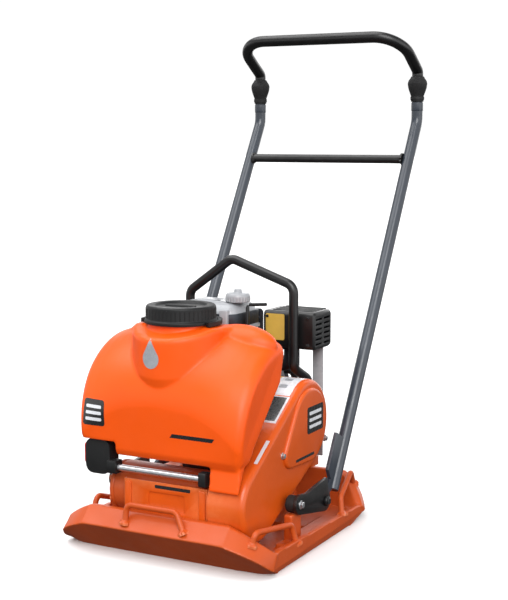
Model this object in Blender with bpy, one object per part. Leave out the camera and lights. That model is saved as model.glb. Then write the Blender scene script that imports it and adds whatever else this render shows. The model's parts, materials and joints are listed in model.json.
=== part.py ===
"""Forward plate compactor: tray-shaped base plate, exciter, engine, water tank and folding handle.

Metres, +Z up. The origin is the middle of the plate's sole, on the ground. The machine travels
towards -Y, the operator stands at +Y, and the belt drive is on the +X side.
"""

import math

import bmesh
import bpy
from mathutils import Matrix, Vector

GAP = 0.0003                     # clearance between touching pieces

# Base plate
PLATE_HALF = 0.250
PLATE_FRONT = -0.290
PLATE_REAR = 0.285
SOLE_FRONT = -0.225
SOLE_REAR = 0.225
TOE_LIP = 0.067                  # height of the toe's lower edge
TOE_TOP = 0.0985
TOE_FACE = 0.032                 # how far the toe's end face leans back
SIDE_TOP = 0.036
RIM = 0.013
DECK = 0.020
PAD_TOP = 0.062                  # top of the cast pads under the rubber mounts
PAD_X = 0.072
PAD_FRONT = -0.050
PAD_REAR = 0.165
ROD = 0.0062                     # radius of the grab rods

# Drive
CRANK = Vector((0.0, 0.050, 0.247))
EXCITER = Vector((0.0, -0.170, 0.125))
BELT_X = 0.140                   # middle plane of the belt
BELT_WIDTH = 0.012
CRANK_PULLEY = 0.050             # outside radius
EXCITER_PULLEY = 0.032
GROOVE = 0.009                   # depth of a pulley's groove
SHAFT = 0.0125
GUARD_IN = 0.1123
GUARD_OUT = 0.200
GUARD_BIG = 0.095                # radii of the guard's two round ends
GUARD_SMALL = 0.078
GUARD_WALL = 0.003
CASE_LEFT = -0.130
CASE_RIGHT = 0.086
CASE_RADIUS = 0.053

# Engine and its bed
BED_LOW = 0.118
BED_TOP = 0.141
CYLINDER_LEAN = math.radians(25.0)
FUEL_LOW = 0.402                 # underside of the fuel tank, which rests on the block

# Lifting bar
LIFT_Y = 0.095
LIFT_REAR = 0.170                # its legs step back to here, behind the belt guard
LIFT_X = 0.131
LIFT_RADIUS = 0.0105
LIFT_PEAK = Vector((-0.023, LIFT_Y, 0.590))

# Water tank and its cap
TANK_HALF = 0.199
TANK_HALF_LOW = 0.186            # it is a little narrower at its underside
TANK_LOW = 0.209
TANK_WIDEST = 0.369
MIDDLE_ARCH = (-0.100, 0.320, 0.160, 0.150)   # centre y, z and half axes of its front curve
SIDE_ARCH = (-0.084, 0.240, 0.174, 0.197)
TANK_CENTRE = (-0.165, 0.330)    # y, z that the outline shrinks towards on the rounded ends
TANK_REACH = 0.105               # the outline's usual distance from that centre
TANK_WALL = 0.005
TANK_EDGE = 0.014                # radius of the edges round its two side faces
NOTCH_TOP = 0.2373               # the cock block fills the corner below this
NECK = Vector((0.0, -0.160, 0.480))
NECK_TOP = 0.506
NECK_RADIUS = 0.067
NECK_BORE = 0.058
PILLAR = 0.100                   # radius of the round pillar under the neck
CAP_RADIUS = 0.072
CAP_LOW = 0.4806
CAP_TOP = 0.518

# Folding handle
PIVOT_Y = 0.052
PIVOT_Z = 0.081
TUBE_X = 0.217
TUBE = 0.0136
TUBE_FOOT = (0.117, 0.087)
TUBE_KNEE = (0.597, 0.895)
TUBE_END = 0.943
CROSSBAR = (0.537, 0.804)
GRIP = 0.0136
MOUNT_Y = -0.072                 # the rubber damper that carries each handle bracket
MOUNT_Z = 0.104
MOUNT_RADIUS = 0.018

# Rest places of the small moving pieces
RECOIL_REST = (-0.126, -0.020, 0.334)
THROTTLE = (0.0740, -0.010, 0.385)
CHOKE = (-0.0643, 0.146, 0.3774)
FUEL_TAP = (-0.0735, 0.030, 0.385)
SWITCH = (-0.042, -0.0553, 0.175)
OIL_CAP = (0.030, -0.0460, 0.175)
COCK = (-0.183, -0.226, 0.214)
FUEL_CAP = (0.045, 0.000, 0.507)

COLOURS = {
    "orange_cast": ((0.62, 0.10, 0.025), 0.45, 0.2),
    "orange_steel": ((0.66, 0.11, 0.025), 0.38, 0.2),
    "orange_plastic": ((0.85, 0.11, 0.012), 0.42, 0.0),
    "black_plastic": ((0.018, 0.018, 0.018), 0.50, 0.0),
    "black_paint": ((0.015, 0.015, 0.016), 0.38, 0.2),
    "grey_paint": ((0.07, 0.085, 0.11), 0.35, 0.3),
    "rubber": ((0.02, 0.02, 0.02), 0.80, 0.0),
    "steel": ((0.55, 0.56, 0.58), 0.30, 1.0),
    "alloy": ((0.42, 0.43, 0.45), 0.45, 1.0),
    "tank_grey": ((0.50, 0.51, 0.53), 0.35, 0.2),
    "dark_alloy": ((0.10, 0.10, 0.11), 0.50, 0.6),
    "red_plastic": ((0.60, 0.02, 0.01), 0.40, 0.0),
}


def clear_scene():
    for item in list(bpy.data.objects):
        bpy.data.objects.remove(item, do_unlink=True)


def material(name):
    found = bpy.data.materials.get(name)
    if found:
        return found
    colour, roughness, metallic = COLOURS[name]
    made = bpy.data.materials.new(name)
    made.use_nodes = True
    shader = made.node_tree.nodes["Principled BSDF"]
    shader.inputs["Base Color"].default_value = (*colour, 1.0)
    shader.inputs["Roughness"].default_value = roughness
    shader.inputs["Metallic"].default_value = metallic
    return made


def add(name, bm, finish):
    """Turn a finished bmesh into a named object with one material."""
    bmesh.ops.recalc_face_normals(bm, faces=bm.faces)
    mesh = bpy.data.meshes.new(name)
    bm.to_mesh(mesh)
    bm.free()
    mesh.shade_smooth()
    mesh.set_sharp_from_angle(angle=math.radians(35))
    mesh.materials.append(material(finish))
    made = bpy.data.objects.new(name, mesh)
    bpy.context.scene.collection.objects.link(made)
    return made


# Outlines, in any two coordinates

def arc(centre, radius, start, end, steps):
    """Points on an arc, from start to end in degrees, both ends included."""
    angles = [math.radians(start + (end - start) * i / steps) for i in range(steps + 1)]
    return [(centre[0] + radius * math.cos(a), centre[1] + radius * math.sin(a)) for a in angles]


def hull_of_circles(first, first_radius, second, second_radius, steps=14):
    """Outline of a belt stretched round two circles, anticlockwise."""
    along = math.atan2(second[1] - first[1], second[0] - first[0])
    distance = math.dist(first, second)
    spread = math.acos((first_radius - second_radius) / distance)
    a, b = math.degrees(along + spread), math.degrees(along - spread)
    big = arc(first, first_radius, a, b + 360.0, steps)
    small = arc(second, second_radius, b, a, steps)
    return big + small


def rectangle(x0, x1, y0, y1, corner=0.0, steps=3):
    """A rectangle, with round corners where corner is more than zero."""
    if corner <= 0.0:
        return [(x0, y0), (x1, y0), (x1, y1), (x0, y1)]
    spots = [(x1 - corner, y1 - corner, 0), (x0 + corner, y1 - corner, 90),
             (x0 + corner, y0 + corner, 180), (x1 - corner, y0 + corner, 270)]
    points = []
    for cx, cy, start in spots:
        points += arc((cx, cy), corner, start, start + 90, steps)
    return points


# Solids

def place(axis, u, v, w):
    """A point from two outline coordinates and the depth along the extrusion axis."""
    return {"X": (w, u, v), "Y": (u, w, v), "Z": (u, v, w)}[axis]


def loft(rings):
    """A closed solid through rings that have the same number of points."""
    bm = bmesh.new()
    loops = [[bm.verts.new(p) for p in ring] for ring in rings]
    count = len(loops[0])
    for low, high in zip(loops, loops[1:]):
        for i in range(count):
            j = (i + 1) % count
            bm.faces.new((low[i], low[j], high[j], high[i]))
    bm.faces.new(loops[0])
    bm.faces.new(loops[-1])
    return bm


def triangles(bm):
    """Split every face, so that bent faces go through the booleans cleanly."""
    bmesh.ops.triangulate(bm, faces=bm.faces)
    return bm


def prism(outline, axis, low, high, chamfer=0.0):
    """Extrude an outline along an axis; chamfer narrows the high end."""
    rings = [[place(axis, u, v, low) for u, v in outline]]
    if chamfer > 0.0:
        rings.append([place(axis, u, v, high - chamfer) for u, v in outline])
        shrunk = inset(outline, chamfer)
        rings.append([place(axis, u, v, high) for u, v in shrunk])
    else:
        rings.append([place(axis, u, v, high) for u, v in outline])
    return loft(rings)


def inset(outline, distance):
    """Move each corner of an outline inwards, along the mean of its two edges' normals."""
    area = sum(a[0] * b[1] - b[0] * a[1] for a, b in zip(outline, outline[1:] + outline[:1]))
    turn = 1.0 if area > 0 else -1.0
    moved = []
    for i, point in enumerate(outline):
        before = Vector(outline[i - 1])
        here = Vector(point)
        after = Vector(outline[(i + 1) % len(outline)])
        first = (here - before).normalized()
        second = (after - here).normalized()
        normal = Vector((-(first.y + second.y), first.x + second.x)).normalized() * turn
        stretch = max(0.5, normal.dot(Vector((-first.y, first.x)) * turn))
        moved.append(tuple(here + normal * distance / stretch))
    return moved


def lathe(profile, axis, centre, steps=24):
    """Turn a closed profile of (radius, height along axis) about an axis through centre."""
    bm = bmesh.new()
    columns = []
    for radius, height in profile:
        column = []
        for i in range(steps if radius > 0 else 1):
            angle = 2 * math.pi * i / steps
            local = place(axis, radius * math.cos(angle), radius * math.sin(angle), height)
            column.append(bm.verts.new(Vector(centre) + Vector(local)))
        columns.append(column)
    count = len(columns)
    for k in range(count):
        one, two = columns[k], columns[(k + 1) % count]
        if len(one) == 1 and len(two) == 1:
            continue
        for i in range(steps):
            j = (i + 1) % steps
            corners = [one[i % len(one)], one[j % len(one)], two[j % len(two)], two[i % len(two)]]
            unique = list(dict.fromkeys(corners))
            bm.faces.new(unique)
    return bm


def disc(radius, low, high, axis, centre, steps=24, bevel=0.0):
    """A plain cylinder, with its two edges bevelled."""
    profile = [(0, low), (radius - bevel, low), (radius, low + bevel),
               (radius, high - bevel), (radius - bevel, high), (0, high)]
    if bevel <= 0.0:
        profile = [(0, low), (radius, low), (radius, high), (0, high)]
    return lathe(profile, axis, centre, steps)


def ring(outer, inner, low, high, axis, centre, steps=24):
    return lathe([(inner, low), (outer, low), (outer, high), (inner, high)], axis, centre, steps)


def rounded(points, bend, steps=4):
    """A path whose inner corners are replaced by arcs of radius bend."""
    points = [Vector(p) for p in points]
    path = [points[0]]
    for before, corner, after in zip(points, points[1:], points[2:]):
        incoming = (corner - before).normalized()
        outgoing = (after - corner).normalized()
        turn = incoming.angle(outgoing)
        trim = bend * math.tan(turn / 2)
        inward = (outgoing - incoming * math.cos(turn)).normalized()
        centre = corner - incoming * trim + inward * bend
        for i in range(steps + 1):
            angle = turn * i / steps
            path.append(centre + bend * (incoming * math.sin(angle) - inward * math.cos(angle)))
    path.append(points[-1])
    return path


def sweep(path, radius, sides=12):
    """A round bar along a path, with flat ends."""
    path = [Vector(p) for p in path]
    bm = bmesh.new()
    loops = []
    normal = None
    for i, point in enumerate(path):
        tangent = (path[min(i + 1, len(path) - 1)] - path[max(i - 1, 0)]).normalized()
        if normal is None:
            normal = tangent.orthogonal().normalized()
        normal = (normal - tangent * normal.dot(tangent)).normalized()
        side = tangent.cross(normal)
        turns = [2 * math.pi * k / sides for k in range(sides)]
        loops.append([point + radius * (normal * math.cos(t) + side * math.sin(t)) for t in turns])
    bm.free()
    return loft(loops)


def modify(target, other, operation):
    """Boolean modifier; the second object is only a tool for it."""
    other.hide_render = True
    other.display_type = "WIRE"
    step = target.modifiers.new(operation.lower(), "BOOLEAN")
    step.operation = operation
    step.object = other
    step.solver = "EXACT"


def cut(target, bm):
    modify(target, add(target.name + "_cutter", bm, "steel"), "DIFFERENCE")


def join(target, bm):
    modify(target, add(target.name + "_addition", bm, "steel"), "UNION")


def hang(piece, joint):
    """Put a piece's origin on its joint's axis and parent it to the joint's empty."""
    piece.data.transform(Matrix.Translation(-joint.location))
    piece.parent = joint


def joint_empty(name, point):
    empty = bpy.data.objects.new(name, None)
    empty.location = point
    empty.empty_display_size = 0.03
    bpy.context.scene.collection.objects.link(empty)
    return empty


# Base plate

def quadrants(front, rear):
    """A closed ring from the right half's points, listed from the front middle to the side."""
    right = front + rear[::-1]
    left = [(-x, y, z) for x, y, z in right][::-1]
    return right + left


def plate_rings(grow=0.0):
    """The tray from sole to deck. grow swells its outside, to make a cutter for welded rods."""
    g = grow
    top_y = PLATE_FRONT + TOE_FACE
    back_y = PLATE_REAR - TOE_FACE
    lower = quadrants(
        [(0.155, PLATE_FRONT - g, TOE_LIP), (0.168, PLATE_FRONT - g, TOE_LIP - 0.003),
         (0.205, -0.277 - g, 0.052), (0.227 + g, -0.256 - g, 0.030), (PLATE_HALF + g, -0.231, 0.005)],
        [(0.175, PLATE_REAR + g, TOE_LIP - 0.002), (0.190, PLATE_REAR + g, TOE_LIP - 0.003),
         (0.216, 0.262 + g, 0.060), (0.235 + g, 0.246, 0.042), (PLATE_HALF + g, 0.226, 0.020)])
    sole = quadrants(
        [(0.150, SOLE_FRONT, 0), (0.165, SOLE_FRONT, 0), (0.195, SOLE_FRONT, 0),
         (0.215, SOLE_FRONT, 0), (0.244, SOLE_FRONT + 0.012, 0)],
        [(0.150, SOLE_REAR, 0), (0.165, SOLE_REAR, 0), (0.195, SOLE_REAR - 0.004, 0),
         (0.222, SOLE_REAR - 0.020, 0), (0.244, SOLE_REAR - 0.065, 0)])
    upper = quadrants(
        [(0.155, top_y, TOE_TOP + g), (0.166, top_y, TOE_TOP - 0.002 + g),
         (0.197, -0.248, 0.083 + g), (0.221 + g, -0.234, 0.058 + g),
         (PLATE_HALF + g, -0.214, SIDE_TOP + g)],
        [(0.175, back_y, TOE_TOP - 0.002 + g), (0.188, back_y, TOE_TOP - 0.004 + g),
         (0.208, 0.240, 0.086 + g), (0.229 + g, 0.226, 0.062 + g),
         (PLATE_HALF + g, 0.206, SIDE_TOP + g)])
    inner = quadrants(
        [(0.150, top_y + RIM, TOE_TOP + g), (0.160, top_y + RIM, TOE_TOP - 0.002 + g),
         (0.188, -0.237, 0.083 + g), (0.209, -0.225, 0.058 + g),
         (PLATE_HALF - RIM, -0.208, SIDE_TOP + g)],
        [(0.168, back_y - RIM, TOE_TOP - 0.002 + g), (0.180, back_y - RIM, TOE_TOP - 0.004 + g),
         (0.198, 0.228, 0.086 + g), (0.217, 0.217, 0.062 + g),
         (PLATE_HALF - RIM, 0.200, SIDE_TOP + g)])
    deck = quadrants(
        [(0.145, -0.216, DECK), (0.155, -0.216, DECK), (0.180, -0.214, DECK),
         (0.204, -0.206, DECK), (0.232, -0.192, DECK)],
        [(0.150, 0.212, DECK), (0.165, 0.212, DECK), (0.187, 0.209, DECK),
         (0.208, 0.202, DECK), (0.232, 0.188, DECK)])
    return [sole, lower, upper, inner, deck]


def base_plate():
    plate = add("base_plate", loft(plate_rings()), "orange_cast")
    for side in (-1, 1):
        for y in (PAD_FRONT, PAD_REAR):
            join(plate, lathe([(0, 0.012), (0.036, 0.012), (0.029, PAD_TOP), (0, PAD_TOP)],
                              "Z", (side * PAD_X, y, 0), 20))
        join(plate, prism(rectangle(*sorted((side * 0.204, side * 0.2235)), -0.096, -0.050),
                          "Z", 0.012, MOUNT_Z - MOUNT_RADIUS - GAP))
    return plate


def grab_rods():
    """Round bars on the rim: across the toe, at three corners and a short one on the left."""
    front = rounded([(-0.066, -0.278, 0.067), (-0.064, -0.272, 0.116), (0.054, -0.272, 0.116),
                     (0.078, -0.278, 0.066)], 0.014, 3)
    rods = {"grab_rod_front": front}
    rods["grab_rod_front_right"] = rounded(
        [(0.2432, -0.110, 0.026), (0.236, -0.124, 0.077), (0.218, -0.245, 0.090),
         (0.212, -0.249, 0.062)], 0.012, 3)
    for name, side in (("right", 1), ("left", -1)):
        rods["grab_rod_rear_" + name] = rounded(
            [(side * 0.2432, 0.113, 0.026), (side * 0.236, 0.118, 0.073),
             (side * 0.222, 0.205, 0.108), (side * 0.212, 0.243, 0.068)], 0.016, 3)
    rods["grab_rod_front_left"] = rounded(
        [(-0.2432, -0.058, 0.026), (-0.2385, -0.070, 0.056), (-0.2385, -0.128, 0.075),
         (-0.2432, -0.142, 0.030)], 0.012, 3)
    for name, path in rods.items():
        rod = add(name, sweep(path, ROD, 10), "orange_cast")
        cut(rod, loft(plate_rings(GAP)))


# Exciter and belt drive

def exciter():
    case = lathe([(SHAFT + 0.004, CASE_RIGHT - 0.006), (SHAFT + 0.004, CASE_RIGHT),
                  (CASE_RADIUS - 0.004, CASE_RIGHT), (CASE_RADIUS, CASE_RIGHT - 0.004),
                  (CASE_RADIUS, CASE_LEFT), (0.043, CASE_LEFT), (0.043, CASE_RIGHT - 0.006)],
                 "X", (0, EXCITER.y, EXCITER.z), 28)
    case = add("exciter_case", case, "orange_cast")
    foot = [(EXCITER.y - 0.026, DECK + GAP), (EXCITER.y + 0.062, DECK + GAP),
            (EXCITER.y + 0.062, DECK + 0.014), (EXCITER.y + 0.030, 0.085),
            (EXCITER.y - 0.028, 0.085)]
    join(case, prism(foot, "X", CASE_LEFT + 0.004, CASE_RIGHT - 0.004))
    cut(case, disc(0.043, CASE_LEFT - 0.01, CASE_RIGHT - 0.006, "X", (0, EXCITER.y, EXCITER.z), 28))
    lid = disc(CASE_RADIUS, CASE_LEFT - 0.012, CASE_LEFT - GAP, "X",
               (0, EXCITER.y, EXCITER.z), 28, 0.003)
    add("exciter_cover", lid, "orange_cast")
    for name, low in (("left", CASE_LEFT + GAP), ("right", CASE_RIGHT - 0.006 - 0.020)):
        bearing = ring(0.043 - GAP, SHAFT + GAP, low, low + 0.0194, "X", EXCITER, 24)
        add("exciter_bearing_" + name, bearing, "steel")


def exciter_rotor(joint):
    shaft = disc(SHAFT, CASE_LEFT + 0.001, BELT_X + 0.024, "X", EXCITER, 16)
    hang(add("exciter_shaft", shaft, "steel"), joint)
    weight = prism([(EXCITER.y + u, EXCITER.z + v) for u, v in
                    arc((0, 0), 0.038, 200, 340, 12) + arc((0, 0), 0.022, 0, 180, 8)],
                   "X", CASE_LEFT + 0.050, CASE_RIGHT - 0.056)
    weight = add("eccentric_weight", weight, "steel")
    cut(weight, disc(SHAFT + GAP, -0.2, 0.2, "X", EXCITER, 16))
    hang(weight, joint)
    hang(pulley("exciter_pulley", EXCITER, EXCITER_PULLEY), joint)


def pulley(name, centre, radius):
    """A grooved belt pulley, bored for its shaft."""
    half = BELT_WIDTH / 2
    wide = half + 0.005
    bore = SHAFT + GAP
    profile = [(bore, -wide), (radius, -wide), (radius, -half - 0.0015),
               (radius - GROOVE - 0.002, -half + 0.002), (radius - GROOVE - 0.002, half - 0.002),
               (radius, half + 0.0015), (radius, wide), (bore, wide)]
    return add(name, lathe(profile, "X", (BELT_X, centre.y, centre.z), 28), "alloy")


def crank_assembly(joint):
    shaft = disc(SHAFT, -0.066, BELT_X + 0.030, "X", CRANK, 16)
    hang(add("crankshaft", shaft, "steel"), joint)
    hang(pulley("clutch_pulley", CRANK, CRANK_PULLEY), joint)


def belt():
    """A flat-sided ring that runs in both grooves, clear of them by the assembly gap."""
    inner = hull_of_circles((CRANK.y, CRANK.z), CRANK_PULLEY - GROOVE,
                            (EXCITER.y, EXCITER.z), EXCITER_PULLEY - GROOVE, 16)
    outer = inset(inner, -0.008)
    half = BELT_WIDTH / 2 - 0.0024
    bm = bmesh.new()
    loops = []
    for outline, x in ((inner, BELT_X - half), (outer, BELT_X - half),
                       (outer, BELT_X + half), (inner, BELT_X + half)):
        loops.append([bm.verts.new((x, y, z)) for y, z in outline])
    for one, two in zip(loops, loops[1:] + loops[:1]):
        for i in range(len(inner)):
            j = (i + 1) % len(inner)
            bm.faces.new((one[i], one[j], two[j], two[i]))
    add("drive_belt", bm, "rubber")


def belt_guard():
    outline = hull_of_circles((CRANK.y, CRANK.z), GUARD_BIG, (EXCITER.y, EXCITER.z), GUARD_SMALL)
    guard = prism(outline, "X", GUARD_IN, GUARD_OUT - 0.007, 0.012)
    guard = add("belt_guard", guard, "orange_steel")
    boss = hull_of_circles((CRANK.y - 0.006, CRANK.z - 0.002), 0.080, (-0.045, 0.200), 0.030, 12)
    join(guard, prism(boss, "X", GUARD_OUT - 0.020, GUARD_OUT, 0.006))
    cut(guard, prism(inset(outline, GUARD_WALL), "X", GUARD_IN - 0.01, GUARD_OUT - 0.011, 0.009))
    back = prism(outline, "X", GUARD_IN - 0.0033, GUARD_IN - GAP)
    back = add("belt_guard_back", back, "orange_steel")
    cut(back, disc(0.062, 0.0, 0.2, "X", CRANK, 28))
    cut(back, disc(0.040, 0.0, 0.2, "X", EXCITER, 24))


# Engine bed and rubber mounts

def engine_bed():
    outline = [(-0.120, -0.085), (0.106, -0.085), (0.106, 0.150), (0.146, 0.156), (0.146, 0.196),
               (-0.146, 0.196), (-0.146, 0.156), (-0.120, 0.150)]
    bed = add("engine_bed", prism(outline, "Z", BED_LOW, BED_TOP, 0.002), "orange_steel")
    cut(bed, prism(inset(outline, 0.005), "Z", BED_LOW - 0.01, BED_TOP - 0.006))
    for side, left in (("right", 1), ("left", -1)):
        for end, y in (("front", PAD_FRONT), ("rear", PAD_REAR)):
            profile = [(0, PAD_TOP + GAP), (0.026, PAD_TOP + GAP), (0.022, 0.098),
                       (0.026, BED_TOP - 0.006 - GAP), (0, BED_TOP - 0.006 - GAP)]
            mount = lathe(profile, "Z", (left * PAD_X, y, 0), 20)
            add("rubber_mount_%s_%s" % (end, side), mount, "rubber")


def lifting_bar():
    """Bent bar over the engine; its legs step back behind the belt guard and the recoil cover."""
    right = [(LIFT_X, LIFT_REAR, BED_TOP + GAP), (LIFT_X, LIFT_REAR, 0.318),
             (LIFT_X, LIFT_Y, 0.356), (LIFT_X, LIFT_Y, 0.536)]
    left = [(-x, y, z) for x, y, z in right[:-1]] + [(-LIFT_X, LIFT_Y, 0.512)]
    path = rounded(right + [tuple(LIFT_PEAK)] + left[::-1], 0.024, 4)
    add("lifting_bar", sweep(path, LIFT_RADIUS, 10), "black_paint")


# Engine

def along_cylinder(distance, across):
    """A point in the (y, z) plane, measured from the crank along the leaning cylinder."""
    c, s = math.cos(CYLINDER_LEAN), math.sin(CYLINDER_LEAN)
    return (CRANK.y + distance * c - across * s, CRANK.z + distance * s + across * c)


def engine_block():
    flat = BED_TOP + GAP
    outline = [(-0.046, flat), (0.142, flat), along_cylinder(0.075, -0.058),
               along_cylinder(0.075, 0.058), (0.070, 0.352), (0.062, FUEL_LOW - GAP),
               (-0.046, FUEL_LOW - GAP), (-0.046, 0.300)]
    block = add("engine_crankcase", prism(outline, "X", -0.070, 0.072, 0.004), "alloy")
    cut(block, disc(SHAFT + 0.001, -0.2, 0.2, "X", CRANK, 16))
    teeth = []
    fins = 7
    for i in range(fins):
        near = 0.0753 + i * 0.0125
        for distance, reach in ((near, 0.044), (near + 0.0075, 0.044),
                                (near + 0.0075, 0.060), (near + 0.0125, 0.060)):
            teeth.append((distance, reach))
    comb = [along_cylinder(d, -a) for d, a in teeth] + [along_cylinder(d, a) for d, a in teeth[::-1]]
    add("engine_cylinder", prism(comb, "X", -0.055, 0.058), "alloy")
    end = teeth[-1][0]
    corners = [(end + GAP, -0.050), (end + 0.030, -0.046), (end + 0.036, -0.030),
               (end + 0.036, 0.030), (end + 0.030, 0.046), (end + GAP, 0.050)]
    cover = prism([along_cylinder(d, a) for d, a in corners], "X", -0.046, 0.049, 0.004)
    add("cylinder_head_cover", cover, "dark_alloy")
    start = Vector((0.049 + GAP, *along_cylinder(0.182, 0.0)))
    plug = sweep(rounded([start, start + Vector((0.020, 0, 0)),
                          start + Vector((0.020, 0.016, -0.026))], 0.010, 3), 0.0075, 10)
    add("spark_plug_cap", plug, "rubber")


def recoil_starter():
    profile = [(0, -0.152), (0.048, -0.152), (0.056, -0.146), (0.060, -0.136), (0.076, -0.132),
               (0.084, -0.124), (0.086, -0.072), (0.080, -0.072), (0.078, -0.120), (0, -0.120)]
    add("recoil_cover", lathe(profile, "X", CRANK, 32), "tank_grey")


def recoil_grip(joint):
    x, y, z = RECOIL_REST
    outline = rectangle(y - 0.024, y + 0.024, z, z + 0.013, 0.006, 3)
    grip = add("recoil_grip", prism(outline, "X", x - 0.007, x + 0.007), "black_plastic")
    hang(grip, joint)


def fuel_tank():
    outline = rectangle(-0.095, 0.070, -0.060, 0.076, 0.030, 4)
    low, high = FUEL_LOW, 0.507
    small, middle = inset(outline, 0.012), inset(outline, 0.003)
    rings = [[(x, y, low) for x, y in small], [(x, y, low + 0.012) for x, y in middle],
             [(x, y, 0.452) for x, y in outline], [(x, y, 0.458) for x, y in outline],
             [(x, y, high - 0.014) for x, y in middle], [(x, y, high) for x, y in inset(outline, 0.022)]]
    add("fuel_tank", loft(rings), "tank_grey")


def fuel_cap(joint):
    centre = (joint.location.x, joint.location.y, 0)
    profile = [(0, 0.5073), (0.026, 0.5073), (0.027, 0.520), (0.024, 0.526), (0.009, 0.527),
               (0.008, 0.535), (0, 0.535)]
    hang(add("fuel_cap", lathe(profile, "Z", centre, 20), "steel"), joint)


def engine_top():
    """Air cleaner, carburettor, silencer and its guard, all above the cylinder."""
    outline = rectangle(0.113, 0.205, 0.386, 0.472, 0.014, 3)
    cleaner = prism(outline, "X", -0.128 + LIFT_RADIUS, -0.022, 0.004)
    add("air_cleaner", cleaner, "black_plastic")
    body = prism(rectangle(0.124, 0.166, 0.3690, 0.3857, 0.006, 2), "X", -0.062, -0.014)
    add("carburettor", body, "alloy")
    can = prism(rectangle(0.121, 0.192, 0.401, 0.468, 0.018, 3), "X", 0.060, 0.160)
    add("silencer", can, "dark_alloy")
    outer = rectangle(0.113, 0.204, 0.393, 0.476, 0.010, 3)
    guard = add("silencer_guard", prism(outer, "X", 0.048, 0.172, 0.004), "black_paint")
    join(guard, prism(rectangle(0.188, 0.191, 0.310, 0.400), "X", 0.134, 0.158))
    cut(guard, prism(inset(outer, 0.003), "X", 0.052, 0.166))
    cut(guard, prism(rectangle(0.122, 0.194, 0.38, 0.41), "X", 0.064, 0.126))
    rows = 6
    for row in range(rows):
        z = 0.403 + row * 0.011
        for y0, y1 in ((0.122, 0.153), (0.164, 0.195)):
            cut(guard, prism(rectangle(y0, y1, z, z + 0.0045), "X", 0.156, 0.180))


def engine_controls():
    """Levers, switch and oil cap, each on its own joint."""
    throttle = joint_empty("throttle_joint", THROTTLE)
    arm = prism(rectangle(THROTTLE[1] - 0.006, THROTTLE[1] + 0.006,
                          THROTTLE[2] - 0.006, THROTTLE[2] + 0.118, 0.005, 3),
                "X", THROTTLE[0] - 0.0015, THROTTLE[0] + 0.0015)
    hang(add("throttle_lever", arm, "black_paint"), throttle)
    choke = joint_empty("choke_joint", CHOKE)
    arm = prism(rectangle(CHOKE[1] - 0.005, CHOKE[1] + 0.030, CHOKE[2] - 0.005, CHOKE[2] + 0.005,
                          0.004, 3), "X", CHOKE[0] - 0.002, CHOKE[0] + 0.002)
    hang(add("choke_lever", arm, "black_plastic"), choke)
    tap = joint_empty("fuel_tap_joint", FUEL_TAP)
    arm = prism(rectangle(FUEL_TAP[1] - 0.005, FUEL_TAP[1] + 0.026, FUEL_TAP[2] - 0.005,
                          FUEL_TAP[2] + 0.005, 0.004, 3),
                "X", FUEL_TAP[0] - 0.002, FUEL_TAP[0] + 0.002)
    hang(add("fuel_tap_lever", arm, "black_plastic"), tap)
    switch = joint_empty("engine_switch_joint", SWITCH)
    knob = lathe([(0, -0.009), (0.012, -0.009), (0.011, 0.009), (0, 0.009)], "Y", SWITCH, 16)
    hang(add("engine_switch", knob, "red_plastic"), switch)
    oil = joint_empty("oil_cap_joint", OIL_CAP)
    profile = [(0, GAP), (0.013, GAP), (0.014, 0.010), (0.005, 0.012), (0.005, 0.022), (0, 0.022)]
    cap = lathe([(r, -h) for r, h in profile], "Y", OIL_CAP, 16)
    hang(add("oil_filler_cap", cap, "black_plastic"), oil)


# Water tank

def tank_profile(share, steps=8):
    """The tank's outline in (y, z) at a share of its half width; rounder towards the sides."""
    blend = min(1.0, abs(share)) ** 2.5
    sizes = zip(MIDDLE_ARCH, SIDE_ARCH)
    cy, cz, wide, tall = (middle + (side - middle) * blend for middle, side in sizes)
    arch = []
    for i in range(steps + 1):
        angle = math.pi / 2 * i / steps
        arch.append((cy - wide * math.cos(angle), cz + tall * math.sin(angle)))
    top = cz + tall
    back = [(-0.0755, top - 0.006), (-0.0775, 0.418), (-0.092, 0.366), (-0.152, 0.297),
            (-0.200, 0.235), (-0.214, TANK_LOW)]
    front = [(-0.247, TANK_LOW), (-0.253, 0.222)]
    return arch + back + front


def tank_width(z):
    """Half the tank's width at a height; it narrows towards its underside."""
    rise = (z - TANK_LOW) / (TANK_WIDEST - TANK_LOW)
    return TANK_HALF_LOW + (TANK_HALF - TANK_HALF_LOW) * min(1.0, max(0.0, rise)) ** 0.7


def tank_body(stations):
    """Loft the tank's outlines across its width, through (share of half width, scale) pairs."""
    middle_y, middle_z = TANK_CENTRE
    rings = []
    for share, scale in stations:
        outline = [(middle_y + (y - middle_y) * scale, middle_z + (z - middle_z) * scale)
                   for y, z in tank_profile(share)]
        rings.append([(share * tank_width(z), y, z) for y, z in outline])
    return triangles(loft(rings))


def tank_hollow():
    """The space inside, with a floor above the corner that the cock block fills."""
    end = 1.0 - 1.6 * TANK_WALL / TANK_HALF
    floor = NOTCH_TOP + TANK_WALL
    rings = []
    for i in range(-4, 5):
        share = end * i / 4
        outline = inset(tank_profile(share), TANK_WALL)
        rings.append([(share * tank_width(z), y, max(z, floor)) for y, z in outline])
    return triangles(loft(rings))


def pillar_top(x, y):
    """Height of the pillar's top face, which rises from the front to the neck."""
    return min(NECK.z, 0.458 + 0.31 * (y - NECK.y + PILLAR)) - 0.010 * (abs(x) / 0.128) ** 3


def pillar():
    """Round in front, flaring towards the rear, with the filler neck in its top."""
    outline = arc((NECK.x, NECK.y), PILLAR, 180, 360, 16)
    outline += [(0.110, -0.120), (0.122, -0.092), (-0.122, -0.092), (-0.110, -0.120)]
    edge = inset(outline, 0.006)
    rings = [[(x, y, 0.300) for x, y in inset(outline, 0.020)], [(x, y, 0.380) for x, y in outline],
             [(x, y, pillar_top(x, y) - 0.006) for x, y in outline],
             [(x, y, pillar_top(x, y)) for x, y in edge]]
    return triangles(loft(rings))


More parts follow.
